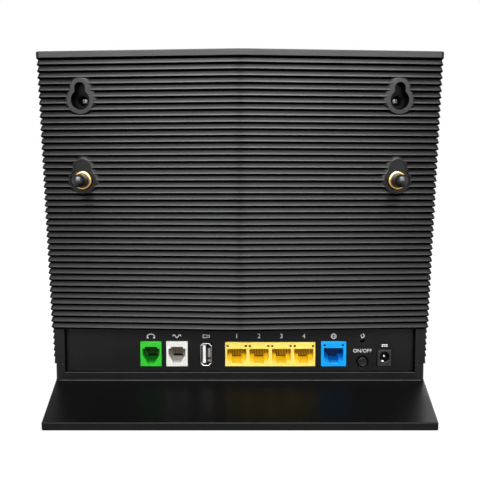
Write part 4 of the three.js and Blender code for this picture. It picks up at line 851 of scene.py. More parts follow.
FRONT_BOTTOM = 42
FRONT_TOP = 10
FRONT_CROWN = 1.5
FRONT_CORNER = 6
TOP_EDGE = 0.6
front_roll = 2.5  # how far the front face rolls over into the top
LIGHT_Z = 23
LIGHT_PITCH = 11
LIGHT_COUNT = 8
LIGHT_SIZE = (1.6, 4)
PAIR_X = 84
PAIR_RADIUS = 4
BOARD_THICKNESS = 1.6
LOGIC_HALF_WIDTH = 82
LOGIC_BOTTOM = 30
LOGIC_HEIGHT = 118
LOGIC_BACK = 12
BOARD_PIN_RADIUS = 1.3
logic_post_radius = 3.4
logic_post_inset = 7
FRONT_LEAN = math.atan2(FRONT_BOTTOM - FRONT_TOP, HOUSING_HEIGHT)


def front_at(z):
    return FRONT_BOTTOM + (FRONT_TOP - FRONT_BOTTOM) * (z - HOUSING_BOTTOM) / HOUSING_HEIGHT


def front_ring(z, side_inset, front_inset):
    """The smooth cover's outline at a height, from the right joint round the front to the left joint."""
    half = half_width_at(z) - side_inset
    radius = FRONT_CORNER - min(side_inset, FRONT_CORNER / 2)
    front = front_at(z) - front_inset
    flat = half - radius
    shares = [0.9 - 0.1 * i for i in range(19)]
    swell = [(share * flat, front + FRONT_CROWN * (1 - share * share)) for share in shares]
    return [(half, part_at(z) + FIT), *arc(flat, front - radius, radius, 0, 90, 8), *swell,
            *arc(-flat, front - radius, radius, 90, 90, 8), (-half, part_at(z) + FIT)]


def leaning(x, out, up):
    """A frame that leans with the front face: across it, straight out of it, and up along it."""
    lean = Matrix.Translation((0, FRONT_BOTTOM, HOUSING_BOTTOM)) @ Matrix.Rotation(FRONT_LEAN, 4, "X")
    return lean @ Matrix.Translation((x, out, up))


# Turns a piece made along Z so that its top faces the ports' side, or the front.
TO_REAR = Matrix.Rotation(math.pi / 2, 4, "X")
TO_FRONT = Matrix.Rotation(-math.pi / 2, 4, "X")

turns = [math.radians(10 * i) for i in range(10)]
levels = [(HOUSING_BOTTOM, 0, 0.3), (HOUSING_BOTTOM + 0.3, 0, 0)]
levels += [(HOUSING_TOP - front_roll * (1 - math.sin(turn)), TOP_EDGE * (1 - math.cos(turn)),
            front_roll * (1 - math.cos(turn))) for turn in turns]
front_cover = loft("front_cover_shell", [[(x, y, z) for x, y in front_ring(z, side, front)]
                                         for z, side, front in levels])
hollow = loft("front_hollow", [[(x, y, z) for x, y in past_joint(front_ring(z, COVER_WALL, COVER_WALL), -1)]
                               for z in (HOUSING_BOTTOM - 1, HOUSING_TOP - COVER_WALL)])
front_cover = cut(front_cover, hollow)
pair_up = (LIGHT_Z - HOUSING_BOTTOM) / math.cos(FRONT_LEAN)
posts = []
for side in (-1, 1):
    for up in (LOGIC_BOTTOM + logic_post_inset, LOGIC_BOTTOM + LOGIC_HEIGHT - logic_post_inset):
        place = leaning(side * (LOGIC_HALF_WIDTH - logic_post_inset), 0, up) @ TO_REAR
        posts += [rod("post", logic_post_radius, 1, LOGIC_BACK - FIT, place, high_edge=0.3),
                  rod("pin", BOARD_PIN_RADIUS, 1, LOGIC_BACK + BOARD_THICKNESS + 1, place, high_edge=0.3)]
front_cover = joined(front_cover, *posts)
light_width, light_height = LIGHT_SIZE
slots = plate("light_slots", rectangle(light_width + 2 * FIT, light_height + 2 * FIT, 0.4), -FRONT_BOTTOM - 4, 0,
              Matrix.Translation((0, 0, LIGHT_Z)) @ TO_REAR)
slots = in_row(slots, LIGHT_COUNT, (LIGHT_PITCH, 0, 0))
key_hole = rod("key_hole", PAIR_RADIUS + FIT, -4, 3, leaning(PAIR_X, 0, pair_up) @ TO_FRONT)
front_cover = cut(front_cover, slots, key_hole)
finished(front_cover, housing_black, "housing", ["front_cover"])


# ================================================================ base tub
# The lower box that carries the port board and closes the housing from below. It is moulded with a sill under
# the port panel, cheeks beside it, and a small cove where it stands on the foot plate.

TUB_TOP = HOUSING_BOTTOM - FIT
PLATE_TOP = 4.7
TUB_HALF_WIDTH = 114.3
TUB_WALL = 2
LEDGE_TOP = 10.05
TUB_FLOOR_TOP = PLATE_TOP + 2
BOARD_BOTTOM = TUB_FLOOR_TOP + 3.7
BOARD_TOP = BOARD_BOTTOM + BOARD_THICKNESS
tub_posts = [("rear", 101, 12), ("front", 74, 32.5)]
tub_post_radius = 4
cove = 0.55
sill_reach = CHEEK_REACH - 0.05


def tub_front_at(z):
    return front_at(z) - (HALF_WIDTH_BOTTOM - TUB_HALF_WIDTH)


def tub_ring(z, inset):
    half = TUB_HALF_WIDTH - inset
    front = tub_front_at(z) - inset
    rear = inset - CHEEK_REACH
    corners = [(-half, rear), (half, rear), (half, front), (-half, front)]
    radii = [max(2.2 - inset, 0.2)] * 2 + [FRONT_CORNER - inset] * 2
    return [(x, y, z) for x, y in rounded(corners, radii, 7)]


foot_levels = [(-0.02 - cove * (1 - math.sin(turn)), PLATE_TOP + cove * (1 - math.cos(turn)))
               for turn in turns[::3]]
foot_levels = [(max(inset, -cove), z) for inset, z in foot_levels]
tub_levels = [*foot_levels, (0, TUB_TOP - 0.25), (0.25, TUB_TOP)]
base_tub = loft("base_tub_shell", [tub_ring(z, inset) for inset, z in tub_levels])
tub_hollow = loft("tub_hollow", [tub_ring(z, TUB_WALL) for z in (TUB_FLOOR_TOP, TUB_TOP + 1)])
tub_opening = block("tub_opening", (-PANEL_HALF_WIDTH, -CHEEK_REACH - 2, PLATE_TOP + 1.5),
                    (PANEL_HALF_WIDTH, PANEL_THICKNESS + 1, TUB_TOP + 1))
sill = plate("sill", rectangle(2 * PANEL_HALF_WIDTH, sill_reach), PLATE_TOP + 1, LEDGE_TOP,
             Matrix.Translation((0, sill_reach / 2 - CHEEK_REACH, 0)), high_edge=0.35)
base_tub = cut(base_tub, tub_hollow, tub_opening)
base_tub = joined(base_tub, sill)
for _, x, y in tub_posts:
    for side in (-1, 1):
        place = Matrix.Translation((side * x, y, 0))
        post = rod("post", tub_post_radius, PLATE_TOP + 0.2, BOARD_BOTTOM - FIT, place, high_edge=0.3)
        pin = rod("pin", BOARD_PIN_RADIUS, PLATE_TOP + 0.2, BOARD_TOP + 1, place, high_edge=0.3)
        base_tub = joined(base_tub, post, pin)
        base_tub = cut(base_tub, rod("way", screw_way_radius, PLATE_TOP - 1, TUB_FLOOR_TOP + 1.85, place))
finished(base_tub, housing_black, "housing", ["base_tub"])


# ================================================================ foot plate
# A flat moulded plate, screwed up into the tub, which reaches out behind the ports to keep the router upright.
# Its top is plain with softened edges; three shallow pockets lighten it underneath.

PLATE_BOTTOM = 0.5
TAIL_HALF_WIDTH = 100.4
TAIL_REACH = 75.8
FOOT_RADIUS = 6.5
tail_foot_inset = 11  # from the plate's rear edge to a foot's middle
foot_side_inset = 13
head_seat = (3.1, 1.8)  # radius and depth of the seats for the base screws' heads
foot_black = grained_plastic("foot_black", (0.0036, 0.0036, 0.0038), 0.4, 0.08, grain=0.2, above=0.2)
plate_front = tub_front_at(PLATE_TOP)


def foot_outline(inset):
    half, tail = TUB_HALF_WIDTH - inset, TAIL_HALF_WIDTH - inset
    corners = [(-half, -CHEEK_REACH), (-tail, inset - TAIL_REACH), (tail, inset - TAIL_REACH),
               (half, -CHEEK_REACH), (half, plate_front - inset), (-half, plate_front - inset)]
    return rounded(corners, [6, 1.2, 1.2, 6, FRONT_CORNER - inset, FRONT_CORNER - inset], 6)


foot_plate = plate("foot_plate_moulding", foot_outline, PLATE_BOTTOM, PLATE_TOP, low_edge=0.5, high_edge=0.5)
pocket_wall = 2.2
pocket_back = tail_foot_inset + FOOT_RADIUS + pocket_wall - TAIL_REACH
pocket_front = -CHEEK_REACH - pocket_wall
pocket_half = TAIL_HALF_WIDTH - pocket_wall
pocket_step = (2 * pocket_half + pocket_wall) / 3
pocket = plate("pockets", rectangle(pocket_step - pocket_wall, pocket_front - pocket_back, 2), PLATE_BOTTOM - 1,
               PLATE_TOP - 1.7, Matrix.Translation((0, (pocket_front + pocket_back) / 2, 0)), high_edge=0.4)
foot_plate = cut(foot_plate, in_row(pocket, 3, (pocket_step, 0, 0)))
feet = [("tail", TAIL_HALF_WIDTH - foot_side_inset, tail_foot_inset - TAIL_REACH),
        ("front", TUB_HALF_WIDTH - foot_side_inset, plate_front - 12)]
for _, x, y in feet:
    middle = Matrix.Translation((0, y, 0))
    seats = rod("foot_seats", FOOT_RADIUS + FIT, PLATE_BOTTOM - 1, PLATE_BOTTOM + 1, middle)
    foot_plate = cut(foot_plate, in_row(seats, 2, (2 * x, 0, 0)))
for _, x, y in tub_posts:
    middle = Matrix.Translation((0, y, 0))
    heads = rod("head_seats", head_seat[0], PLATE_BOTTOM - 1, PLATE_BOTTOM + head_seat[1], middle)
    ways = rod("screw_ways", screw_way_radius, PLATE_BOTTOM, PLATE_TOP + 1, middle)
    foot_plate = cut(foot_plate, in_row(heads, 2, (2 * x, 0, 0)), in_row(ways, 2, (2 * x, 0, 0)))
finished(foot_plate, foot_black, "foot", ["foot_plate"])


# ================================================================ rubber feet and base screws
# Four moulded rubber discs are stuck in shallow seats under the foot plate, and four steel screws hold the
# plate to the posts of the tub.

rubber = grained_plastic("foot_rubber", (0.012, 0.012, 0.012), 0.75, 0.2, grain=0.6, grain_size=0.35)
steel = metal("bright_steel", (0.55, 0.55, 0.56), 0.3)
base_screw = (2.8, 1.5, 1.4, 5.5)  # the head's radius and height, and the shank's radius and length
edge = rounded([(0, 0), (FOOT_RADIUS, 0), (FOOT_RADIUS, 1.5), (0, 1.5)], [0, 0.45, 0.1, 0], 5, closed=False)
groove = [(FOOT_RADIUS - inward, up) for inward, up in ((2.6, 0), (2.4, 0.2), (1.8, 0.2), (1.6, 0))]
for row, x, y in feet:
    for side, sign in (("left", -1), ("right", 1)):
        place = Matrix.Translation((sign * x, y, 0))
        foot = turned(f"rubber_pad_{row}_{side}", [edge[0], *groove, *edge[1:]], place)
        finished(foot, rubber, "rubber", [f"rubber_foot_{row}_{side}"])
for row, x, y in tub_posts:
    for side, sign in (("left", -1), ("right", 1)):
        place = Matrix.Translation((sign * x, y, PLATE_BOTTOM)) @ Matrix.Rotation(math.pi, 4, "X")
        screw = pan_screw(f"plate_screw_{row}_{side}", *base_screw, place)
        finished(screw, steel, "steel", [f"base_screw_{row}_{side}"])


# ================================================================ port panel
# A flat black moulding set 4 mm back between the cheeks, with an opening for each port. Its marks are printed
# in white: a pictogram over each single port, and plain numbers over the four network ports.

JACK_BOTTOM = BOARD_TOP + 0.35 + FIT
PORT_GAP = 0.35
PORT_PROUD = 0.5
phone_x, dsl_x, usb_x, lan_x, wan_x, power_x = -55.6, -39.4, -21.2, 18.9, 58.5, 90.3
phone_size = (13.4, 15.8, 18)
lan_pitch = 13.97
lan_ports = 4
lan_size = (lan_ports * lan_pitch + 0.4, 15.3, 21)
wan_size = (15.8, 15.8, 21)
usb_size = (7, 14.4, 14)
usb_lift = 0.6
power_size = (8.8, 10.5, 14)
button_x, button_z, button_radius, button_hole = 76.5, BOARD_TOP + 3.6, 3.05, 3.85
reset_z, reset_hole = BOARD_TOP + 16.7, 1.4
panel_black = grained_plastic("panel_black", (0.0065, 0.0065, 0.0068), 0.3, 0.1)
panel_half = PANEL_HALF_WIDTH - FIT
panel_bottom = LEDGE_TOP - 1
panel_top = RIB_BOTTOM - FIT
panel_back = PANEL_THICKNESS + FIT + 1.5
lip_reach = 2.5


def upright(width, height, x, z, corner=0.3):
    """An outline function and its frame, for a rectangle seen from the ports' side, with its top facing out."""
    return rectangle(width, height, corner), Matrix.Translation((x, 0, z)) @ TO_REAR


outline, place = upright(2 * panel_half, panel_top - panel_bottom, 0, (panel_top + panel_bottom) / 2, 0.4)
port_panel = plate("port_panel_moulding", outline, -panel_back, 0, place, high_edge=0.25)
outline, place = upright(2 * (PANEL_HALF_WIDTH + lip_reach), panel_top + lip_reach - panel_bottom, 0,
                         (panel_top + lip_reach + panel_bottom) / 2)
port_panel = joined(port_panel, plate("lip", outline, -panel_back, -PANEL_THICKNESS - FIT, place))
outline, place = upright(2 * (panel_half - lip_reach), panel_top - lip_reach - BOARD_BOTTOM, 0,
                         (panel_top - lip_reach + BOARD_BOTTOM) / 2)
port_panel = cut(port_panel, plate("panel_hollow", outline, -panel_back - 1, -PANEL_THICKNESS, place))
opening_edge = 0.15
for x, width, height in ((phone_x, *phone_size[:2]), (dsl_x, *phone_size[:2]),
                         (usb_x, usb_size[0], usb_lift + usb_size[1]), (lan_x, *lan_size[:2]),
                         (wan_x, *wan_size[:2]), (power_x, *power_size[:2])):
    outline, place = upright(width + 2 * PORT_GAP, height + 2 * PORT_GAP, x, JACK_BOTTOM + height / 2)
    port_panel = cut(port_panel, plate("opening", outline, -panel_back - 1, 0, place, high_edge=-opening_edge),
                     plate("opening", lambda inset: outline(inset - opening_edge), -0.01, 1, place))
for radius, z in ((button_hole, button_z), (reset_hole, reset_z)):
    place = Matrix.Translation((button_x, 0, z)) @ TO_REAR
    port_panel = cut(port_panel, rod("hole", radius, -panel_back - 1, 1, place),
                     rod("hole", radius + 0.2, -0.2, 1, place, low_edge=0.19))
finished(port_panel, panel_black, "panel", ["port_panel"])

mark_white, tree, output = new_material("mark_white")
ink = between(tree, noise(tree, 4000), (0.8, 0.8, 0.8), (0.95, 0.95, 0.95))
surface(tree, output, {"Base Color": ink, "Roughness": 0.5})
ink_thickness = 0.05
ink_depth = 0.02  # how far the print sinks into the panel's face
mark_row = 31.7


def bar(name, path, width, low, high, place, closed=False):
    """A bar of a given width along a flat path, from one height to another."""
    path = [Vector(point) for point in path]
    count = len(path)
    points, faces = [], []
    for i, point in enumerate(path):
        before = path[i - 1] if closed or i else point
        after = path[(i + 1) % count] if closed or i + 1 < count else point
        sides = [Vector((a.y - b.y, b.x - a.x)).normalized()
                 for a, b in ((before, point), (point, after)) if a != b]
        mean = sum(sides, Vector((0, 0))) / len(sides)
        offset = mean * (width / 2 / mean.length_squared)
        left, right = point + offset, point - offset
        points += [(*left, low), (*right, low), (*right, high), (*left, high)]
    for i in range(count if closed else count - 1):
        a, b = 4 * i, 4 * ((i + 1) % count)
        faces += [(a + k, a + (k + 1) % 4, b + (k + 1) % 4, b + k) for k in range(4)]
    if not closed:
        faces += [(3, 2, 1, 0), tuple(4 * (count - 1) + k for k in range(4))]
    return facing_out(mesh_piece(name, points, faces, place))


def ring_path(radius_x, radius_y=None, start=0, turn=360, steps=24):
    """Points round a circle or an oval, or round a part of it; angles in degrees."""
    angles = [math.radians(start + turn * i / steps) for i in range(steps + (turn != 360))]
    return [(radius_x * math.cos(angle), (radius_y or radius_x) * math.sin(angle)) for angle in angles]


def printed(name, strokes, x, z, scale=1.2):
    """A pictogram of strokes (path, width, closed) printed on the panel."""
    place = Matrix.Translation((x, 0, z)) @ TO_REAR @ Matrix.Scale(scale, 4)
    parts = [bar(name, path, width, -ink_depth, ink_thickness, place, closed)
             for path, width, closed in strokes]
    bpy.ops.object.select_all(action="DESELECT")
    for part in parts:
        part.select_set(True)
    bpy.context.view_layer.objects.active = parts[0]
    if len(parts) > 1:
        bpy.ops.object.join()
    mark = parts[0]
    mark.name = name
    finished(mark, mark_white, "panel", [])


def lettered(name, text, x, z, height, weight=0.01):
    """Plain figures or letters printed on the panel."""
    curve = bpy.data.curves.new(name, "FONT")
    curve.body = text
    curve.size = 1
    curve.align_x = "CENTER"
    curve.align_y = "CENTER"
    curve.extrude = 0.5
    curve.offset = weight
    curve.resolution_u = 3
    flat = bpy.data.objects.new(name, curve)
    bpy.context.scene.collection.objects.link(flat)
    mesh = bpy.data.meshes.new_from_object(flat.evaluated_get(bpy.context.evaluated_depsgraph_get()))
    bpy.data.objects.remove(flat)
    heights = [vertex.co.y for vertex in mesh.vertices]
    tall = max(heights) - min(heights)
    place = Matrix.Translation((x, PANEL_FACE, z)) @ TO_REAR
    for vertex in mesh.vertices:
        point = Vector((vertex.co.x * height / tall, vertex.co.y * height / tall,
                        ink_thickness if vertex.co.z > 0 else -ink_depth))
        vertex.co = (place @ point) * MM
    mark = bpy.data.objects.new(name, mesh)
    bpy.context.scene.collection.objects.link(mark)
    finished(mark, mark_white, "panel", [])


thick, thin, fine, hair = 0.5, 0.42, 0.35, 0.22
wave = [(-2.2 + 0.2 * i, 0.75 * math.sin(math.radians(360 * 1.5 * i / 22))) for i in range(23)]
arrow_ring = ring_path(0.85, start=60, turn=-300)
printed("mark_handset", [([(-1.9, -0.75), *ring_path(1.9, 1.15, 170, -160, 12), (1.9, -0.75)], thick, False),
        ([(-2.2, -0.75), (-1.2, -0.75)], 0.75, False), ([(1.2, -0.75), (2.2, -0.75)], 0.75, False)],
        phone_x, mark_row)
printed("mark_line", [(wave, thick, False)], dsl_x, mark_row)
printed("mark_plug", [([(-1.5, -0.75), (0.5, -0.75), (0.5, 0.75), (-1.5, 0.75)], thin, True),
        ([(0.5, -0.5), (1.7, -0.5), (1.7, 0.5), (0.5, 0.5)], thin, True)], usb_x, mark_row)
printed("mark_globe", [(ring_path(1.25), thin, True), (ring_path(0.55, 1.25), hair, True),
        ([(-1.25, 0), (1.25, 0)], hair, False)], wan_x, mark_row)
arrow_head = [(0.05, 1.15), (0.6, 0.75), (0.15, 0.3)]
printed("mark_restart", [(arrow_ring, fine, False), (arrow_head, fine, False)], button_x, mark_row + 0.3)
printed("mark_direct_current", [([(-1.5, 0.4), (1.5, 0.4)], thin, False),
                                ([(-1.5, -0.4), (-0.8, -0.4)], thin, False),
        ([(-0.35, -0.4), (0.35, -0.4)], thin, False), ([(0.8, -0.4), (1.5, -0.4)], thin, False)], power_x, 25.8)
for port in range(lan_ports):
    x = lan_x + (port - (lan_ports - 1) / 2) * lan_pitch
    lettered(f"mark_{port + 1}", str(port + 1), x, mark_row, 2.8)
lettered("mark_on_off", "ON/OFF", button_x, 22.4, 2.2, weight=-0.01)


# ================================================================ phone and line sockets
# Six-way sockets in a one-piece moulded body, green for the phone and white for the line. Each mouth steps up
# to a notch over the contacts, and narrows down a ramp to the latch.


def glossy_plastic(name, colour, roughness=0.34, port_shade=None, depth=4):
    """An opaque coloured plastic with light scattered under its surface, which may get painted shade in a port."""
    material, tree, output = new_material(name)
    flow = noise(tree, 260, 3)
    pale = [min(channel * 1.06, 1) for channel in colour]
    tone = between(tree, flow, [channel * 0.92 for channel in colour], pale)
    surface(tree, output, {"Base Color": shaded_in_port(tree, tone, port_shade or colour, 0.4, depth),
            "Roughness": ranged(tree, flow, 0, 1, roughness - 0.05, roughness + 0.05),
            "Normal": relief(tree, noise(tree, 5000, 1), 0.12, 0.02), "Specular IOR Level": 0.2,
            "Subsurface Weight": 0.12, "Subsurface Radius": [0.6 * MM] * 3, "Subsurface Scale": 1})
    return material


# The phone and line plastics are painted darker towards the backs of their mouths: painted shade.
jack_green = glossy_plastic("jack_green", (0.03, 0.5, 0.027), port_shade=(0.001, 0.14, 0.003))
jack_white = glossy_plastic("jack_white", (0.78, 0.77, 0.74), port_shade=(0.34, 0.31, 0.28))
contact_gold = metal("contact_gold", (0.14, 0.11, 0.06), 0.4, 0.01)
# Near-black plastic for the reset peg, and for blocks set in the slits behind the mouths as painted shade.
shade_and_peg_black = grained_plastic("shade_and_peg_black", (0.002, 0.002, 0.002), 0.6, 0.03)


def seat_of(x, z):
    """The frame of a port: across it, up it, and out of the panel from the port's own face."""
    return Matrix.Translation((x, -PORT_PROUD, z)) @ TO_REAR


def hollowed(name, width, height, x, z, depth, corner=0.3, flare=0.2):
    """A cutter for a rectangular mouth with a softened rim; z is its middle."""
    return plate(name, rectangle(width, height, corner, 3), -depth, 0.001, seat_of(x, z), high_edge=-flare)


def funnel(name, wide, narrow, x, low, high, depth):
    """A cutter that narrows from its top width to its bottom width."""
    middle = (low + high) / 2
    half = (high - low) / 2
    ring = [(-narrow / 2, -half), (narrow / 2, -half), (wide / 2, half), (-wide / 2, half)]
    outline = rounded(ring, 0.25, 3)
    return loft(name, [[(px, py, z) for px, py in outline] for z in (-depth, 1)], seat_of(x, middle))


def across_port(x, y=0):
    """A frame for what is drawn in depth and height, and runs across a port."""
    return Matrix(((0, 0, 1, x), (1, 0, 0, y), (0, 1, 0, 0), (0, 0, 0, 1)))


def wedge(name, profile, width, x):
    """A solid across the port, whose profile runs in depth and height."""
    return plate(name, lambda inset: profile, -width / 2, width / 2, across_port(x))


contact_pitch = 1.02
contact_thickness = 0.28


def contacts(name, count, width, x, path):
    """A row of bent spring wires; the path runs in depth and height."""
    bent = rounded(path, [0] + [0.5] * (len(path) - 2) + [0], 3, closed=False)
    wire = bar(name, bent, contact_thickness, -width / 2, width / 2, across_port(x))
    finished(in_row(wire, count, (contact_pitch, 0, 0), contact_gold), contact_gold, "brass", [])


phone_width, phone_height, phone_length = phone_size
reach = 8.5  # depth of the mouths
frame_line = rectangle(phone_width - 1.7, phone_height - 1.5)(0)
for name, x, material, slot_name in (("phone", phone_x, jack_green, "jack_green"),
                                     ("dsl", dsl_x, jack_white, "jack_white")):
    outline = rectangle(phone_width, phone_height, 0.35, 4)
    seat = seat_of(x, JACK_BOTTOM + phone_height / 2)
    socket = plate(f"{name}_socket_body", outline, -phone_length, 0, seat, high_edge=0.35)
    top = JACK_BOTTOM + phone_height
    socket = cut(socket, hollowed("mouth", 10.5, 4.4, x, top - 6.8, reach),
                 hollowed("notch", 7.6, 3, x, top - 4.9, reach, flare=0.15),
                 funnel("shoulders", 10.5, 6.4, x, top - 11.9, top - 8.8, reach),
                 funnel("latch", 6.5, 4.1, x, top - 14.3, top - 11.7, reach),
                 block("gap", (x - 3.1, reach - 1, top - 11.3), (x + 3.1, 13, top - 9.5)))
    comb = [(3.2, top - 3.2), (reach - 0.2, top - 9.5), (reach + 0.5, top - 9.5), (reach + 0.5, top - 3.2)]
    ramp = [(0.5, top - 14.2), (0.5, top - 14.6), (reach + 0.5, top - 14.6), (reach + 0.5, top - 11.3),
            (reach - 0.2, top - 11.3)]
    socket = joined(socket, wedge("comb", comb, 7.4, x), wedge("ramp", ramp, 7, x))
    socket = cut(socket, bar("frame_line", frame_line, 0.12, -0.1, 0.2, seat, closed=True))
    finished(socket, material, slot_name, [f"{name}_jack"])
    # A near-black block fills the slit behind the mouth: painted shade.
    slit_shade = block(f"{name}_slit_shade_block", (x - 3, 8.9, top - 11.2), (x + 3, 12.8, top - 9.6))
    finished(slit_shade, shade_and_peg_black, "jack_black", [])
    spring = [(3.0, top - 3.7), (3.6, top - 4.2), (7.8, top - 9.2), (8.2, top - 9.3)]
    contacts(f"{name}_contacts", 6, 0.42, x, spring)


# ================================================================ network and uplink sockets
# Eight-way sockets: four in one yellow body for the local network, and a blue one for the uplink. A strip above
# each mouth has two dark windows for its lights, and sloped steps stand on both sides of the latch slot.

# The network plastics are painted darker towards the backs of their mouths: painted shade.
jack_yellow = glossy_plastic("jack_yellow", (0.97, 0.76, 0.15), port_shade=(0.84, 0.54, 0.008), depth=2.5)
jack_blue = glossy_plastic("jack_blue", (0.0, 0.35, 0.88), port_shade=(0.0, 0.09, 0.38))
window_dark = grained_plastic("light_window", (0.01, 0.003, 0.001), 0.3, 0.06)
light_aside = 5.7  # from a mouth's middle to its lights


def net_socket(name, x, size, ports, material, slot_name, nodes):
    """A body with one mouth or a row of them, and the lights and spring contacts that belong to it."""
    width, height, length = size
    middle = JACK_BOTTOM + height / 2
    socket = plate(name, rectangle(width, height, 0.35, 4), -length, 0, seat_of(x, middle), high_edge=0.35)
    top = JACK_BOTTOM + height
    reach = 9  # depth of the mouths
    across = (lan_pitch, 0, 0)
    tools = [hollowed("mouth", 12, 5.4, x, top - 6.95, reach, flare=0.25),
             funnel("shoulders", 12, 10.9, x, top - 12.6, top - 9.4, reach),
             hollowed("latch", 6.2, 4.6, x, top - 11.5, reach, flare=0.2),
             block("gap", (x - 2.9, reach - 1, top - 11.2), (x + 2.9, 14, top - 10.5))]
    for tool in tools:
        socket = cut(socket, in_row(tool, ports, across, material))
    comb = [(3, top - 4), (reach - 0.2, top - 10.5), (reach + 0.5, top - 10.5), (reach + 0.5, top - 4)]
    ramp = [(0.5, top - 13.7), (0.5, top - 14), (reach + 0.5, top - 14), (reach + 0.5, top - 11.1),
            (reach - 0.2, top - 11.1)]
    step = [(0.8, top - 12.5), (0.8, top - 12.8), (reach + 0.5, top - 12.8), (reach + 0.5, top - 8), (6, top - 9)]
    for solid in (wedge("comb", comb, 9, x), wedge("ramp", ramp, 6.4, x), wedge("step", step, 2.9, x - 4.6),
                  wedge("step", step, 2.9, x + 4.6)):
        socket = joined(socket, in_row(solid, ports, across, material))
    for offset in (-light_aside, light_aside):
        window = hollowed("window", 1.35, 1.25, x + offset, top - 2.4, 0.6, 0.12, 0.06)
        socket = cut(socket, in_row(window, ports, across, material))
    if ports > 1:
        for offset in (-0.55, 0.55):
            dot = rod("dot", 0.24, -0.5, 1, seat_of(x + offset, JACK_BOTTOM + 2.7), steps=16)
            socket = cut(socket, in_row(dot, ports - 1, across, material))
        line = plate("parting", rectangle(0.14, height - 0.8), -0.12, 1, seat_of(x, middle))
        socket = cut(socket, in_row(line, ports - 1, across, material))
    finished(socket, material, slot_name, nodes)
    for side, offset in (("left", -light_aside), ("right", light_aside)):
        seat = seat_of(x + offset, top - 2.4)
        pane = plate(f"{name}_light_{side}", rectangle(1.3, 1.2, 0.1, 2), -0.6, -0.25, seat, high_edge=0.1)
        finished(in_row(pane, ports, across, window_dark), window_dark, "clear", [])
    # A near-black block fills the slit behind each mouth: painted shade.
    slit_shade = block("slit_shade", (x - 2.8, 9.1, top - 11.1), (x + 2.8, 13.8, top - 10.55))
    slit_shade = in_row(slit_shade, ports, across, shade_and_peg_black)
    slit_shade.name = f"{name}_slit_shade_block"
    finished(slit_shade, shade_and_peg_black, "jack_black", [])
    spring = [(2.8, top - 4.4), (3.4, top - 4.9), (8.2, top - 10.2), (8.6, top - 10.3)]
    for port in range(ports):
        middle_x = x + (port - (ports - 1) / 2) * lan_pitch
        number = f"_{port + 1}" if ports > 1 else ""
        contacts(f"{name}_contacts{number}", 8, 0.4, middle_x, spring)


net_socket("lan_socket_block", lan_x, lan_size, lan_ports, jack_yellow, "jack_yellow", ["lan_jack_block"])
net_socket("wan_socket_body", wan_x, wan_size, 1, jack_blue, "jack_blue", ["wan_jack"])


# ================================================================ serial bus port
# A drawn steel shell stood on its narrow side, with rolled corners, a flared mouth and two sprung tabs. A white
# insulator inside carries the tongue with its four gold pads.

shell_width, shell_height, shell_length = usb_size
shell_wall = 0.5
shell_corner = 1.6
usb_z = JACK_BOTTOM + usb_lift - FIT + shell_height / 2
# The shell's nickel is painted dark inside the mouth: painted shade.
nickel = metal("nickel_plate", (0.5, 0.47, 0.43), 0.25, 0.01, port_shade=(0.02, 0.018, 0.015))
sprung_nickel = metal("spring_nickel", (0.27, 0.25, 0.22), 0.3, 0.01)


def shell_outline(inset):
    half, tall = shell_width / 2 - inset, shell_height / 2 - inset
    corner = shell_corner
    corners = [(-half, corner - tall), (corner - half, -tall), (half - corner, -tall), (half, corner - tall),
               (half, tall - corner), (half - corner, tall), (corner - half, tall), (-half, tall - corner)]
    return rounded(corners, 0.3, 3)


usb_seat = seat_of(usb_x, usb_z)
shell = plate("usb_shell_pressing", shell_outline, -shell_length, 0, usb_seat, high_edge=0.2)
bore = plate("bore", lambda inset: shell_outline(inset + shell_wall), -shell_length - 1, 0.001, usb_seat,
             high_edge=-0.25)
SIDEWAYS = Matrix.Rotation(math.pi / 2, 4, "Y")
tab_window = plate("tab_window", rectangle(1.2, 2.2, 0.2, 3), -1, 3,
                   Matrix.Translation((usb_x + shell_width / 2 - 1, 5, usb_z)) @ SIDEWAYS)
shell = cut(shell, bore, in_row(tab_window, 2, (0, 0, 6.4)))
finished(shell, nickel, "steel", ["usb_shell"])
tab_steel = metal("tab_steel", (0.32, 0.3, 0.28), 0.35, 0.01)
tab_path = [(1.5, 2.7), (1.4, 2.2), (1.6, 1.1), (2.2, 0.9)]
for row, z, tall in (("low", usb_z - 4.2, 1.4), ("high", usb_z + 0.8, 5.8)):
    lying = Matrix(((0, 1, 0, usb_x), (1, 0, 0, 0), (0, 0, 1, z), (0, 0, 0, 1)))
    bent = rounded(tab_path, [0, 0.4, 0.6, 0], 3, closed=False)
    tab = bar(f"usb_tab_{row}", bent, 0.2, -tall / 2, tall / 2, lying)
    finished(tab, tab_steel, "steel", [])

tongue_x = usb_x - 1.2
# The tongue is painted darker deep in the shell: painted shade.
tongue_white = glossy_plastic("tongue_white", (0.85, 0.84, 0.82), port_shade=(0.02, 0.018, 0.016), depth=6)
tongue_width, tongue_height = 1.9, 11.4
insulator = plate("usb_insulator", lambda inset: shell_outline(inset + shell_wall + 0.1), -shell_length,
                  4.5 - shell_length, usb_seat)
tongue = plate("tongue", rectangle(tongue_width, tongue_height, 0.3, 4), 4.3 - shell_length, -1,
               seat_of(tongue_x, usb_z), high_edge=0.35)
insulator = joined(insulator, tongue)
finished(insulator, tongue_white, "tongue", ["usb_tongue"])
pad_face = Matrix.Translation((tongue_x + tongue_width / 2, 5.4, usb_z)) @ SIDEWAYS
pads = plate("usb_pads", rectangle(1.0, 6.6, 0.2, 3), -0.2, 0.08, pad_face, high_edge=0.05)
pads = in_row(pads, 4, (0, 0, 2.3), contact_gold)
finished(pads, contact_gold, "brass", [])


# ================================================================ power socket
# A square black body with a deep round mouth. A nickel-plated centre pin stands in it, and a sprung blade lies
# along the low side of the bore.

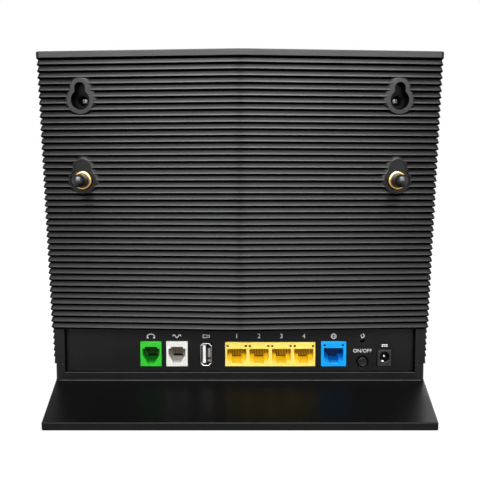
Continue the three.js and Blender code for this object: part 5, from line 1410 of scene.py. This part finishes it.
power_width, power_height, power_length = power_size
bore_z = JACK_BOTTOM + 6
bore_radius = 3.15
bore_depth = 9.6
blade_x = power_x - 0.9
socket_black = grained_plastic("socket_black", (0.0105, 0.0105, 0.0112), 0.4, 0.25, grain=0.2)
power_socket = plate("power_socket_body", rectangle(power_width, power_height, 0.3, 4), -power_length, 0,
                     seat_of(power_x, JACK_BOTTOM + power_height / 2), high_edge=0.3)
bore_seat = seat_of(power_x, bore_z)
bore = plate("bore", circle(bore_radius), -bore_depth, 0.001, bore_seat, high_edge=-0.3)
pin_hole = rod("pin_hole", 1.1, -11.6, 0, bore_seat)
blade_seat = seat_of(blade_x, bore_z - 2.9)
blade_way = plate("blade_way", rectangle(2.4, 1.6, 0.3, 3), -bore_depth, -0.8, blade_seat)
power_socket = cut(power_socket, bore, pin_hole, blade_way)
finished(power_socket, socket_black, "jack_black", ["power_jack"])
pin_tip = rounded([(1, -11.5), (1, -1.2), (0, -1.2)], [0, 0.7, 0], 6, closed=False)
pin = turned("power_pin", [(0, -11.5), (1, -11.5), *pin_tip[1:]], bore_seat, 32)
finished(pin, sprung_nickel, "steel", ["power_jack_pin"])
blade_path = [(1.2, bore_z - 3.2), (1.6, bore_z - 2.5), (5.6, bore_z - 1.9), (9.2, bore_z - 2.9)]
blade_path = rounded(blade_path, [0, 0.8, 0.8, 0], 3, closed=False)
blade = bar("power_blade", blade_path, 0.3, -0.5, 0.5, across_port(blade_x, -PORT_PROUD))
finished(blade, sprung_nickel, "steel", [])


# ================================================================ power button and reset key
# The latching button is a round black cap with a flat sunk face, on the stem of its switch. The reset key is a
# small peg behind a pinhole, reached with the end of a wire.

button_proud = 1.4
button_way = FIT + 2
switch_face, switch_length = 7.5, 9
button_black = grained_plastic("button_black", (0.008, 0.008, 0.0085), 0.4, 0.12, grain=0.2)
cap_round = 0.7
rim = button_radius - cap_round
sunk_face = [(rim, button_proud), (rim - 0.3, button_proud - 0.2), (0, button_proud - 0.25)]
sunk_face = rounded(sunk_face, [0, 0.15, 0], 4, closed=False)
cap_profile = [(0, button_way - switch_face), (button_radius, button_way - switch_face),
               *arc(rim, button_proud - cap_round, cap_round, 0, 90, 8), *sunk_face[1:]]
button_place = Matrix.Translation((button_x, 0, button_z)) @ TO_REAR
button = turned("power_button_cap", cap_profile, button_place, 56)
stem = plate("stem", rectangle(2.6, 2.6, 0.3, 3), button_way + 1 - switch_face - switch_length,
             button_way - switch_face + 0.2, button_place)
button = joined(button, stem)
finished(button, button_black, "button", ["power_button"], body="power_button")
key_place = Matrix.Translation((button_x, switch_face + switch_length - 3.4, reset_z)) @ TO_REAR
reset_key = rod("reset_peg", 1.5, -1.2, 1.6, key_place, high_edge=0.3)
finished(reset_key, shade_and_peg_black, "chip", ["reset_key"], body="reset_key")


# ================================================================ pairing key and status lights
# On the front face, a round push key sits low at one side, and eight clear fingers of one moulded light guide
# come through the cover in a row.

def crown_at(x):
    return FRONT_CROWN * (1 - (x / (HALF_WIDTH_BOTTOM - FRONT_CORNER)) ** 2)


collar_radius = 5.2
collar_front = crown_at(PAIR_X + collar_radius) - COVER_WALL - FIT
collar_back = collar_front - 1.4
pair_foot = crown_at(PAIR_X) - 9 + FIT + 0.8
pair_proud = crown_at(PAIR_X) + 0.5
pair_profile = [(0, pair_foot), (1.5, pair_foot), (1.5, collar_back), (collar_radius, collar_back),
                (collar_radius, collar_front), (PAIR_RADIUS, collar_front),
                *arc(PAIR_RADIUS - 0.4, pair_proud - 0.4, 0.4, 0, 90, 6),
                (PAIR_RADIUS - 1.0, pair_proud), (PAIR_RADIUS - 1.5, pair_proud - 0.15), (0, pair_proud - 0.3)]
pair_key = turned("pairing_key_cap", pair_profile, leaning(PAIR_X, 0, pair_up) @ TO_FRONT, 56)
finished(pair_key, button_black, "button", ["pairing_key"], body="pairing_key")

clear_guide, tree, output = new_material("clear_guide")
gloss = ranged(tree, noise(tree, 700), 0, 1, 0.08, 0.22)
surface(tree, output, {"Base Color": (0.8, 0.84, 0.86, 1), "Roughness": gloss,
        "Transmission Weight": 0.6, "IOR": 1.49})
bar_front = front_at(LIGHT_Z) - 3.5
bar_back = bar_front - 3
bar_half = (LIGHT_COUNT - 1) / 2 * LIGHT_PITCH + LIGHT_SIZE[0]
guide = plate("light_guide_moulding", rectangle(2 * bar_half, 7, 0.4, 3), -bar_front, -bar_back,
              Matrix.Translation((0, 0, LIGHT_Z)) @ TO_REAR)
legs = plate("legs", rectangle(3, LIGHT_Z - JACK_BOTTOM, 0.3, 3), -bar_front, -bar_back,
             Matrix.Translation((0, 0, (LIGHT_Z + JACK_BOTTOM) / 2)) @ TO_REAR)
guide = joined(guide, in_row(legs, 2, (2 * bar_half - 3, 0, 0)))
for i in range(LIGHT_COUNT):
    x = (i - (LIGHT_COUNT - 1) / 2) * LIGHT_PITCH
    face = front_at(LIGHT_Z) + FRONT_CROWN * (1 - (x / (half_width_at(LIGHT_Z) - FRONT_CORNER)) ** 2)
    lean_place = Matrix.Translation((x, face - 0.1, LIGHT_Z)) @ Matrix.Rotation(FRONT_LEAN, 4, "X") @ TO_FRONT
    finger = plate("finger", rectangle(*LIGHT_SIZE, 0.3, 4), -3.9, 0, lean_place, high_edge=0.15)
    guide = joined(guide, finger)
finished(guide, clear_guide, "clear", ["light_guide"])


# ================================================================ boards and their parts
# Inside stand a horizontal board with the sockets and a leaning board with the processor, its sink and two
# screened areas. They are ordinary glass-fibre boards and bought parts, seen only through the top slots.

laminate, tree, output = new_material("board_laminate")
place = add_node(tree, "ShaderNodeTexCoord").outputs["Object"]
tracks = add_node(tree, "ShaderNodeTexBrick", {"Vector": place, "Scale": 160, "Mortar Size": 0.06,
                  "Color1": (0.012, 0.11, 0.035, 1), "Color2": (0.015, 0.13, 0.045, 1),
                  "Mortar": (0.03, 0.2, 0.07, 1)})
surface(tree, output, {"Base Color": tracks.outputs["Color"], "Roughness": 0.35,
        "Normal": relief(tree, tracks.outputs["Fac"], 0.3, 0.05)})
aluminium = metal("mill_aluminium", (0.6, 0.61, 0.62), 0.35)
tinplate = metal("tinplate", (0.6, 0.6, 0.6), 0.28)
epoxy = grained_plastic("chip_epoxy", (0.018, 0.018, 0.019), 0.55, 0.4)
thermal_grey = grained_plastic("thermal_pad_grey", (0.2, 0.22, 0.24), 0.8, 0.2)
coil_yellow = glossy_plastic("coil_tape", (0.75, 0.5, 0.04))
foil_copper = metal("antenna_foil", (0.75, 0.42, 0.22), 0.3)
cable_white = glossy_plastic("ribbon_white", (0.66, 0.66, 0.63))
lead_black = glossy_plastic("lead_sleeve", (0.012, 0.012, 0.012), 0.3)
for names, material in (
    (["port_board", "logic_board", "riser_board"], laminate),
    (["heat_sink", "capacitor_1", "capacitor_2"], aluminium),
    (["shield_low", "shield_high", "reset_switch"], tinplate),
    (["main_chip", "memory_chip", "lan_transformer", "wan_transformer", "power_inductor", "power_switch",
      "pairing_switch"], epoxy),
    (["thermal_pad"], thermal_grey),
    (["dsl_transformer"], coil_yellow),
    (["ribbon_cable", "ribbon_socket_low", "ribbon_socket_high"], cable_white),
    ([f"antenna_{i}" for i in range(1, 5)], foil_copper),
    ([f"antenna_lead_{i}" for i in range(1, 5)], lead_black),
):
    for name in names:
        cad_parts[name].material_slots[0].material = material
